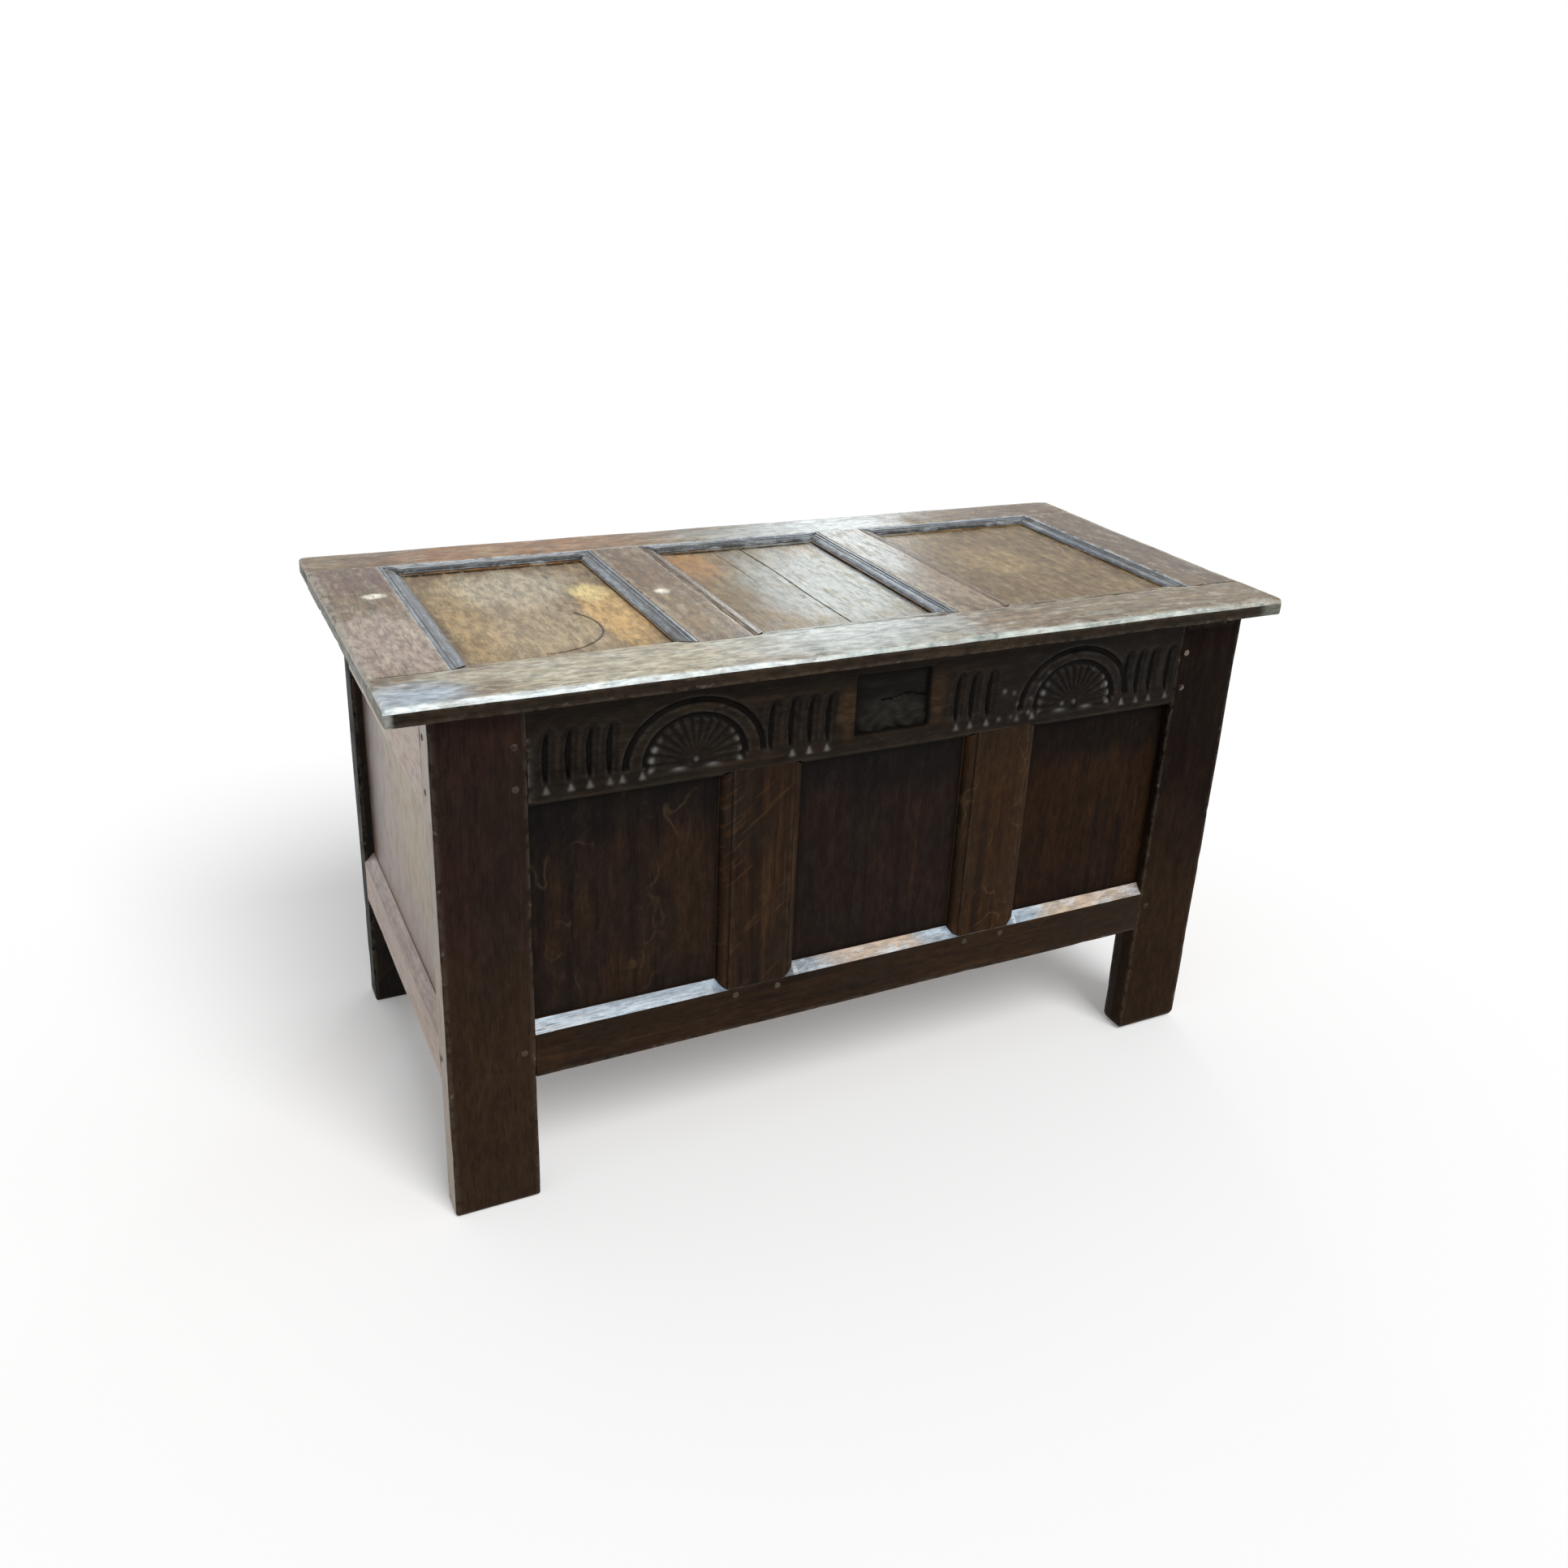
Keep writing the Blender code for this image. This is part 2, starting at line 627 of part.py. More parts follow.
def hinge(name, x, base, lid_parent, lid_back):
    """A flared iron hinge: one leaf on the body's back, one let into the lid's underside, and a pin."""
    mid = LID_KNUCKLE_W / 2
    end = HINGE_W / 2
    plate_y = BACK_FACE + FIT
    outline = leaf_outline(x, HINGE_W, HINGE_FLARE_W, -PLATE_DROP, -LEAF_L)
    fixed = piece(f"{name}_hinge_body_leaf", prism(outline, plate_y, plate_y + LEAF_T, upright), base, IRON)
    for side, x0, x1 in (("a", -end, -mid - KNUCKLE_GAP), ("b", mid + KNUCKLE_GAP, end)):
        low = Vector((x + x0 + WEB_INSET, plate_y + LEAF_T / 2, -BARREL_R + WEB_INSET))
        web = box(low, (x + x1 - WEB_INSET, 0.0, low.z + WEB_T))
        fuse(fixed, helper(f"{name}_hinge_web_{side}", web, base))
        knuckle(f"{name}_hinge_knuckle_{side}", fixed, base, x + x0, x + x1)

    outline = leaf_outline(x, HINGE_W, HINGE_FLARE_W, LID_BACK, LID_BACK - LEAF_L)
    moving = piece(f"{name}_hinge_lid_leaf", prism(outline, 0.0, LEAF_T, level), lid_parent, IRON)
    half_neck = mid - WEB_INSET
    thin = LEAF_T / 2 - WEB_INSET / 2
    low = (x - half_neck, LID_BACK - LEAF_T, LEAF_T / 2 - thin)
    neck = box(low, (x + half_neck, 0.0, LEAF_T / 2 + thin))
    fuse(moving, helper(f"{name}_hinge_neck", neck, lid_parent))
    knuckle(f"{name}_hinge_lid_knuckle", moving, lid_parent, x - mid, x + mid)
    seat = leaf_outline(x, HINGE_W, HINGE_FLARE_W, LID_BACK + PAST, LID_BACK - LEAF_L, FIT)
    cut(lid_back, helper(f"{name}_hinge_seat", prism(seat, -PAST, LEAF_T + FIT, level), lid_parent))

    ends = (x - end - PIN_OUT, 0.0, 0.0), (x + end + PIN_OUT, 0.0, 0.0)
    piece(f"{name}_hinge_pin", rod(*ends, PIN_R, PIN_SIDES), base, IRON)
    bore = rod((x - end - PAST, 0.0, 0.0), (x + end + PAST, 0.0, 0.0), PIN_R + FIT, PIN_SIDES)
    hole = helper(f"{name}_hinge_bore", bore, base)
    cut(fixed, hole)
    cut(moving, hole)


def coffer():
    front = empty("front_wall", (0.0, FRONT_Y, 0.0))
    rear = empty("rear_wall", (0.0, BACK_Y, 0.0), 180.0)
    left = empty("left_wall", (-BODY_W / 2, MID_Y, 0.0), -90.0)
    right = empty("right_wall", (BODY_W / 2, MID_Y, 0.0), 90.0)
    floor = empty("floor_level", (0.0, MID_Y, LEG_H + FLOOR_RISE))
    base = empty("hinge_line", (0.0, PIN_Y, PIN_Z))
    lid_axis = empty("lid_axis", (0.0, PIN_Y, PIN_Z))

    front_wall = long_wall(
        "front", front, ("left", "right"), (FRONT_LEFT_MUNTIN_X, FRONT_RIGHT_MUNTIN_X), FRONT_MUNTIN_W,
        MUNTIN_MOULD_W, CHAMFER_H, RAIL_MOULD_W, (DARK_OAK, PANEL_OAK),
    )
    rear_wall = long_wall(
        "rear", rear, ("right", "left"), (-REAR_MUNTIN_X, REAR_MUNTIN_X), REAR_MUNTIN_W,
        0.0, 0.0, 0.0, (WARM_OAK, PANEL_OAK),
    )
    front_left, front_right = front_wall["stiles"]
    rear_right, rear_left = rear_wall["stiles"]
    left_rails = short_wall("left", left, (rear_left, front_left), (DARK_OAK, PANEL_OAK))
    right_rails = short_wall("right", right, (front_right, rear_right), (DARK_OAK, PANEL_OAK))
    floor_boards(floor, [wall["bottom"] for wall in (front_wall, rear_wall, left_rails, right_rails)])
    front_pegs(front, front_wall)
    lock_patch(front, front_wall["top"])
    lid_back = lid(lid_axis)
    for name, x in (("left", -HINGE_X), ("right", HINGE_X)):
        hinge(name, x, base, lid_axis, lid_back)


coffer()
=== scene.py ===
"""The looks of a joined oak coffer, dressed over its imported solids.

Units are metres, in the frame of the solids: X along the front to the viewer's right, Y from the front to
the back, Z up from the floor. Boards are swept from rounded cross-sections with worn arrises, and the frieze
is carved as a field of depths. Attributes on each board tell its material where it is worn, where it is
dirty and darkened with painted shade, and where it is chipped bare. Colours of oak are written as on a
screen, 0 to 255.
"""

import json
import math
from collections import namedtuple

import bpy
import numpy as np
from mathutils import Matrix, Vector


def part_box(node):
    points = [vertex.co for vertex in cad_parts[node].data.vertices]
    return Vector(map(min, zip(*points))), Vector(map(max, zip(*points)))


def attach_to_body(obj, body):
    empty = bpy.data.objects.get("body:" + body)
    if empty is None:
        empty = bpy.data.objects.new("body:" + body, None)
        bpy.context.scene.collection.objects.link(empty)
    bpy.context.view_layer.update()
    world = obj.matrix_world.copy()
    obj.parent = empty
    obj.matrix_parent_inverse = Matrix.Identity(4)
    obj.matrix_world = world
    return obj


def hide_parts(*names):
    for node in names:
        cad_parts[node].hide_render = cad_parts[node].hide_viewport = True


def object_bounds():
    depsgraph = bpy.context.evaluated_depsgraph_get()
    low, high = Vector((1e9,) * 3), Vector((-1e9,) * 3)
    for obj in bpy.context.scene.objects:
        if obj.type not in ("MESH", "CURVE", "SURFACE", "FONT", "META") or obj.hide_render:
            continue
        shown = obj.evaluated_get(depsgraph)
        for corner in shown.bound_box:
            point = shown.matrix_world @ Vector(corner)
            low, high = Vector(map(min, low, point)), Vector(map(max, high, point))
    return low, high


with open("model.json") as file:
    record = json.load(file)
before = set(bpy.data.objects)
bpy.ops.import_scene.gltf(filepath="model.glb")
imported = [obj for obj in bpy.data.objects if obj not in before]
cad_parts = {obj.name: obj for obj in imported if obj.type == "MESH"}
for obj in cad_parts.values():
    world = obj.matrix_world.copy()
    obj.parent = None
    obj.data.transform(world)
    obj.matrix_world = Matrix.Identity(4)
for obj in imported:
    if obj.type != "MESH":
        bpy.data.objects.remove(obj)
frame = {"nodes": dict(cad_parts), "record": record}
CAD_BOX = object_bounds()

# The camera of the photograph
CAMERA_EYE = (-0.8520, -1.6858, 1.2736)
CAMERA_RIGHT = (0.88944, -0.45392, 0.05348)
CAMERA_UP = (0.13214, 0.36738, 0.92063)
CAMERA_BACK = (-0.43754, -0.81178, 0.38675)
CAMERA_LENS = 32.186
CAMERA_SENSOR = 36.0
CAMERA_SHIFT = (-0.02616, -0.03637)


def low(node, axis):
    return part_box(node)[0][axis]


def high(node, axis):
    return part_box(node)[1][axis]


# Places read from the solids
X, Y, Z = 0, 1, 2
LEFT_X = low("front_left_stile", X)
RIGHT_X = high("front_right_stile", X)
STILE_IN = low("front_right_stile", X)
FRONT_Y = low("front_left_stile", Y)
BACK_Y = high("rear_left_stile", Y)
MID_Y = (FRONT_Y + BACK_Y) / 2
STILE_T = high("front_left_stile", Y) - FRONT_Y
RAIL_T = high("front_bottom_rail", Y) - FRONT_Y
BODY_H = high("front_left_stile", Z)
LEG_H = low("front_bottom_rail", Z)
LOW_SIGHT = high("front_bottom_rail", Z)
HIGH_SIGHT = low("front_top_rail", Z)
SIDE_REACH = (BACK_Y - FRONT_Y) / 2 - STILE_T
PANEL_DEPTHS = (low("front_left_panel", Y) - FRONT_Y, high("front_left_panel", Y) - FRONT_Y)
LID_TOP = high("lid_front_rail", Z)
LID_T = LID_TOP - low("lid_front_rail", Z)
LID_END = high("lid_front_rail", X)
LID_FRONT = low("lid_front_rail", Y)
LID_BACK = high("lid_back_rail", Y)
LID_LOW_SIGHT = high("lid_front_rail", Y)
LID_HIGH_SIGHT = low("lid_back_rail", Y)
LID_PANEL_DEPTHS = (LID_TOP - high("lid_left_panel", Z), LID_TOP - low("lid_left_panel", Z))
FLOOR_TOP = high("floor_board_1", Z)

# Mouldings and chamfers round the openings, as in the solids; the lid's are 5 mm broader, for an outer bead
CHAMFER_H = 0.0145
CHAMFER_FLAT = 0.05
MUNTIN_MOULD_W = 0.014
RAIL_MOULD_W = 0.008
MOULD_DEPTH = 0.013
LID_MOULD_W = 0.023
LID_MOULD_DEPTH = 0.0065
FIT = 0.0003
LOW_EDGE = LOW_SIGHT - CHAMFER_H
HIGH_EDGE = HIGH_SIGHT + RAIL_MOULD_W

# Rounded and worn arrises
ARRIS = 0.0022
SOFT_ARRIS = 0.0014
INNER_ARRIS = 0.0010
STILE_ARRIS = 0.003
LID_NOSE = 0.0065
FOOT_ROUND = 0.005
WORN_FOOT_ROUND = 0.010
LID_END_ROUND = 0.004
LID_CORNER_R = 0.022
ARC_STEPS = 4
SHOULDER = 0.005
STATION = 0.009
COARSE_STATION = 0.022
WEAR, LID_WEAR, STILE_WEAR = 0.0008, 0.0010, 0.0011

# The first seed of each kind of piece
FRONT_STILE_SEED, REAR_STILE_SEED = 11, 21
BOTTOM_RAIL_SEED, FRONT_MUNTIN_SEED = 31, 41
REAR_RAIL_SEED, REAR_MUNTIN_SEED, SIDE_RAIL_SEED = 51, 53, 55
FRONT_PANEL_SEED, REAR_PANEL_SEED, SIDE_PANEL_SEED = 61, 65, 71
FRIEZE_SEED, LOCK_SEED = 81, 83
LID_RAIL_SEED, LID_STILE_SEED, LID_MUNTIN_SEED, LID_PANEL_SEED = 91, 93, 95, 97
FRONT_PEG_SEED, OTHER_PEG_SEED, SIDE_PEG_SEED, REAR_PEG_SEED = 101, 103, 104, 105
HINGE_SEED, BODY_NAIL_SEED, LID_NAIL_SEED = 111, 112, 113
FLOOR_SEED, FLOOR_BOARD_SEED, FLOOR_NAIL_SEED = 121, 123, 128

# Which material of a board a face takes
OUTER, INNER, POLISHED, EDGE = 0, 1, 2, 3

BODY_OF = {n: body for body, names in frame["record"]["behaviour"]["bodies"].items() for n in names}
SLOT_OF = {part["node"]: part["material_slot"] for part in frame["record"]["subparts"]}


def points(x, y, z):
    return np.stack(np.broadcast_arrays(x, y, z), -1)


# Where a point of a wall or of the lid lies: along it, up or across it, and inwards from its face
def front(along, up, depth):
    return points(along, FRONT_Y + depth, up)


def rear(along, up, depth):
    return points(-along, BACK_Y - depth, up)


def left(along, up, depth):
    return points(LEFT_X + depth, MID_Y - along, up)


def right(along, up, depth):
    return points(RIGHT_X - depth, MID_Y + along, up)


def lid(along, across, depth):
    return points(along, across, LID_TOP - depth)


def under_lid(along, across, depth):
    """A point above the lid's underside."""
    return points(along, across, LID_TOP - LID_T + depth)


def inner_floor(along, across, depth):
    """A point below the floor boards' top."""
    return points(along, across, FLOOR_TOP - depth)


def turned(place):
    """The same wall for a member that stands: its length runs up, its width along."""
    return lambda length, width, depth: place(width, length, depth)


# A layer of a figure: noise with so many waves a metre along the grain, across it and through it, its detail
# and roughness, and the values between which its marks fade in
Layer = namedtuple("Layer", "waves detail roughness fade", defaults=(2.0, 0.5, (0.0, 1.0)))


class Shade:
    """The nodes of a material or of the world. Most methods add a node and return its output."""

    def __init__(self, owner, shader="Principled BSDF"):
        owner.use_nodes = True
        self.tree = owner.node_tree
        self.shader = self.tree.nodes[shader]

    def put(self, socket, value):
        if isinstance(value, bpy.types.NodeSocket):
            self.tree.links.new(value, socket)
        elif socket.type == "RGBA":
            socket.default_value = (*value, 1.0)
        else:
            socket.default_value = value

    def finish(self, inputs):
        """Sets inputs of the shader itself."""
        for key, value in inputs.items():
            self.put(self.shader.inputs[key], value)

    def node(self, kind, inputs, **settings):
        made = self.tree.nodes.new(kind)
        for key, value in settings.items():
            setattr(made, key, value)
        for key, value in inputs.items():
            self.put(made.inputs[key], value)
        return made

    def place(self):
        return self.node("ShaderNodeTexCoord", {}).outputs["Object"]

    def maths(self, operation, a, b):
        return self.node("ShaderNodeMath", {0: a, 1: b}, operation=operation).outputs[0]

    def times(self, a, b):
        return self.maths("MULTIPLY", a, b)

    def weighed(self, values, shares):
        """The sum of values, each times its share."""
        total = self.times(values[0], shares[0])
        for value, share in zip(values[1:], shares[1:]):
            total = self.maths("ADD", total, self.times(value, share))
        return total

    def vector(self, operation, a, b):
        return self.node("ShaderNodeVectorMath", {0: a, 1: b}, operation=operation).outputs[0]

    def noise(self, place, layer):
        waves = self.vector("MULTIPLY", place, layer.waves)
        inputs = {"Vector": waves, "Scale": 1.0, "Detail": layer.detail, "Roughness": layer.roughness}
        return self.node("ShaderNodeTexNoise", inputs).outputs["Fac"]

    def fade(self, value, start, end, to_start=0.0, to_end=1.0):
        inputs = {"Value": value, "From Min": start, "From Max": end, "To Min": to_start, "To Max": to_end}
        return self.node("ShaderNodeMapRange", inputs, interpolation_type="SMOOTHSTEP").outputs[0]

    def marks(self, place, layer, strength=1.0):
        return self.fade(self.noise(place, layer), *layer.fade, 0.0, strength)

    def blend(self, share, a, b, mode="MIX"):
        """Two colours mixed; sockets 6, 7 and 2 are the node's colours."""
        made = self.node("ShaderNodeMix", {0: share, 6: a, 7: b}, data_type="RGBA", blend_type=mode)
        return made.outputs[2]

    def attribute(self, name):
        return self.node("ShaderNodeAttribute", {}, attribute_name=name).outputs["Fac"]

    def bump(self, height, distance, strength):
        inputs = {"Height": height, "Distance": distance, "Strength": strength}
        return self.node("ShaderNodeBump", inputs).outputs[0]

    def shown(self, unseen, seen):
        """One value for rays that only carry light, another for what is looked at, straight or in a gloss."""
        rays = self.node("ShaderNodeLightPath", {}).outputs
        looked_at = self.maths("MAXIMUM", rays["Is Camera Ray"], rays["Is Glossy Ray"])
        looked_at = self.maths("MAXIMUM", looked_at, rays["Is Transmission Ray"])
        return self.fade(looked_at, 0.0, 1.0, unseen, seen)


def srgb(red, green, blue):
    """A colour as written for a screen, in linear light."""
    shares = [value / 255 for value in (red, green, blue)]
    return tuple(c / 12.92 if c < 0.0405 else ((c + 0.055) / 1.055) ** 2.4 for c in shares)


# A finish of oak: its tones, how strongly its second hue and each kind of mark show, and its gloss
TONES = ("dark", "mid", "light", "worn", "grime", "hue")
MARKS = ("zone", "grit", "mottle", "stain", "fleck", "curl", "edge", "chip")
Look = namedtuple("Look", (*TONES, *MARKS, "rough", "specular"))
FRONT_LOOK = Look(
    dark=(27, 15, 12), mid=(39, 25, 19), light=(48, 31, 22), worn=(104, 95, 84), grime=(7, 6, 5),
    hue=(30, 24, 17), zone=0.5, grit=0.16, mottle=0.03, stain=0.15, fleck=0.12, curl=0.0, edge=0.18,
    chip=0.45, rough=(0.45, 0.62), specular=0.05,
)
DIM_LOOK = FRONT_LOOK._replace(
    dark=(15, 8, 6), mid=(23, 13, 10), light=(31, 19, 13), hue=(22, 16, 12), specular=0.02,
)
POST_LOOK = FRONT_LOOK._replace(dark=(7, 6, 5), mid=(12, 10, 9), light=(19, 15, 13), hue=(13, 11, 10))
RAIL_LOOK = FRONT_LOOK._replace(dark=(28, 17, 10), mid=(42, 28, 16), light=(56, 37, 21))
MUNTIN_LOOK = FRONT_LOOK._replace(
    dark=(25, 14, 9), mid=(39, 25, 15), light=(58, 40, 24), fleck=0.8, edge=0.08, chip=0.1,
)
CURLED_LOOK = MUNTIN_LOOK._replace(dark=(32, 18, 9), mid=(50, 31, 15), fleck=0.25, curl=0.4)
PANEL_LOOK = FRONT_LOOK._replace(
    dark=(20, 12, 9), mid=(32, 20, 15), light=(42, 28, 18), hue=(25, 18, 15), zone=0.6, grit=0.22, fleck=0.10,
    edge=0.1, chip=0.2,
)
SPLASHED_LOOK = PANEL_LOOK._replace(mid=(39, 26, 17), light=(50, 36, 22), curl=0.30)
WARM_PANEL_LOOK = PANEL_LOOK._replace(mid=(40, 25, 13), light=(50, 34, 18), hue=(34, 20, 12), specular=0.03)
LOCK_LOOK = PANEL_LOOK._replace(
    dark=(11, 9, 8), mid=(18, 16, 14), light=(28, 26, 22), hue=(22, 21, 18), fleck=0.0,
)
FRIEZE_LOOK = FRONT_LOOK._replace(
    dark=(19, 13, 9), mid=(31, 23, 16), light=(44, 32, 21), worn=(104, 102, 98), grit=0.25, edge=0.4,
)
# The frieze's moulded lower edge, lighter than the frieze: a painted highlight
FRIEZE_MOULD_HIGHLIGHT_LOOK = FRIEZE_LOOK._replace(dark=(30, 24, 18), mid=(46, 38, 30), light=(66, 56, 45))
PEG_LOOK = FRONT_LOOK._replace(mid=(50, 40, 32), light=(74, 64, 54), worn=(112, 102, 92), edge=0.9)
# The sides' oak: pale because a painted sheen is in its base colour; the high specular is its real gloss
SIDE_SHEEN_LOOK = FRONT_LOOK._replace(
    dark=(92, 70, 42), mid=(121, 96, 60), light=(143, 117, 80), worn=(176, 160, 142), grime=(44, 34, 28),
    hue=(120, 92, 78), mottle=0.10, edge=0.3, rough=(0.30, 0.42), specular=0.90,
)
# The side rails: paler still, with more painted reflection in their base colour
SIDE_RAIL_SHEEN_LOOK = SIDE_SHEEN_LOOK._replace(dark=(122, 92, 72), mid=(150, 118, 94), light=(173, 144, 121))
# Their chamfers: pale pinkish, a painted reflection
SIDE_CHAMFER_REFLECTION_LOOK = SIDE_RAIL_SHEEN_LOOK._replace(mid=(160, 140, 132), light=(188, 172, 168), mottle=0.4)
REAR_LOOK = FRONT_LOOK._replace(
    dark=(38, 26, 18), mid=(60, 42, 29), light=(86, 63, 44), grime=(14, 11, 9), hue=(52, 40, 30),
    specular=0.15,
)
BARE_LOOK = REAR_LOOK._replace(
    dark=(64, 46, 32), mid=(98, 74, 52), light=(128, 100, 72), worn=(150, 126, 98), grime=(30, 22, 16),
    hue=(88, 66, 48), mottle=0.04, fleck=0.04, rough=(0.62, 0.80),
)
LID_LOOK = Look(
    dark=(70, 51, 34), mid=(122, 99, 69), light=(164, 141, 104), worn=(206, 200, 184), grime=(24, 18, 16),
    hue=(108, 87, 68), zone=0.5, grit=0.32, mottle=0.32, stain=0.26, fleck=0.10, curl=0.0, edge=0.35,
    chip=0.4, rough=(0.25, 0.40), specular=0.20,
)
# The lid's front rail: its pale bluish worn colour is wear and a painted highlight on the rounded nose
NOSE_WEAR_AND_HIGHLIGHT_LOOK = LID_LOOK._replace(light=(176, 156, 122), worn=(216, 218, 208), mottle=0.40, edge=0.3)
LID_PANEL_LOOK = LID_LOOK._replace(
    dark=(84, 64, 39), mid=(135, 110, 73), light=(171, 146, 102), worn=(200, 188, 158), hue=(114, 94, 64),
    zone=0.7, grit=0.28, mottle=0.30, stain=0.22, specular=0.10,
)
# The middle lid panel: evener figure, under its painted sheen
EVEN_PANEL_LOOK = LID_PANEL_LOOK._replace(zone=0.4, grit=0.18, stain=0.08)
LID_EDGE_LOOK = FRONT_LOOK._replace(
    dark=(26, 19, 14), mid=(40, 32, 24), light=(58, 46, 34), hue=(52, 42, 30), grit=0.25, edge=0.2,
)
# The lid's mouldings: blue-grey, a painted reflection, with a painted highlight on the bead as worn colour
LID_MOULD_REFLECTION_LOOK = LID_LOOK._replace(
    dark=(66, 67, 69), mid=(117, 123, 128), light=(160, 169, 175), worn=(200, 209, 214), grime=(12, 10, 9),
    hue=(92, 109, 128), edge=0.8, rough=(0.22, 0.36), specular=0.50,
)
# The chamfers under the panels: bluish white, a painted reflection
CHAMFER_REFLECTION_LOOK = LID_MOULD_REFLECTION_LOOK._replace(
    dark=(104, 108, 112), mid=(134, 146, 157), light=(165, 180, 192), worn=(194, 211, 223),
    hue=(104, 132, 156), grit=0.2, mottle=0.50, stain=0.2, edge=0.3,
)

# The oak's figure
DRIFT, DRIFT_REACH = Layer((1.6, 5.0, 5.0)), 0.030
RINGS = Layer((2.2, 62.0, 62.0), 4.0, 0.6)
FIBRE = Layer((13.0, 380.0, 380.0), 3.0)
PORES = Layer((40.0, 950.0, 950.0), 1.0, 0.5, (0.58, 0.70))
TONE = Layer((3.0, 6.0, 6.0), 3.0)
BLOTCH = Layer((26.0, 64.0, 64.0), 5.0, 0.7, (0.47, 0.64))
ZONES = Layer((6.0, 9.0, 9.0), 3.0, 0.6, (0.44, 0.60))
RAGGED = Layer((14.0, 26.0, 26.0), 4.0, 0.6, (1.55, 0.95))
RAYS, RAY_TURN = Layer((15.0, 170.0, 40.0), 2.0, 0.5, (0.58, 0.68)), math.radians(-52.0)
CURLS, CURL_TINT = Layer((20.0, 26.0, 26.0), 1.0, 0.5, (0.030, 0.0)), (84, 68, 48)
CURL_MIDDLE = 0.5
CURL_SPREAD = Layer((13.0, 18.0, 18.0), 3.0, 0.5, (0.50, 0.64))
STAINS = Layer((16.0, 66.0, 66.0), 5.0, 0.75, (0.50, 0.64))
GRIT = Layer((46.0, 115.0, 115.0), 3.0, 0.65, (0.34, 0.66))
RUBBED = Layer((70.0, 90.0, 90.0), 3.0, 0.6, (0.36, 0.56))
SPECKS = Layer((75.0, 110.0, 110.0), 1.0, 0.5, (0.66, 0.72))
DARK_TO_MID, MID_TO_LIGHT = (0.38, 0.51), (0.51, 0.64)
PORE_DIRT = 0.55
GLOSS_FADE = (0.25, 0.75)
OAK_BUMP = (0.0007, 0.35)
# Shares of rings, tone and fibre in the colour
BODY_SHARES = (0.5, 0.3, 0.2)
# Shares of fibre, rings, pores and blotch in the bump, and of tone and blotch in the gloss
RELIEF_SHARES = (0.5, 0.5, -0.6, 0.3)
GLOSS_SHARES = (0.5, 0.5)
FIGURE_SHIFT = 9.0


def seeded_shift(seed):
    """How far a piece's figure is moved, so that no two boards are alike."""
    draw = np.random.default_rng(seed)
    return tuple(float(value) for value in draw.uniform(-FIGURE_SHIFT, FIGURE_SHIFT, 3))


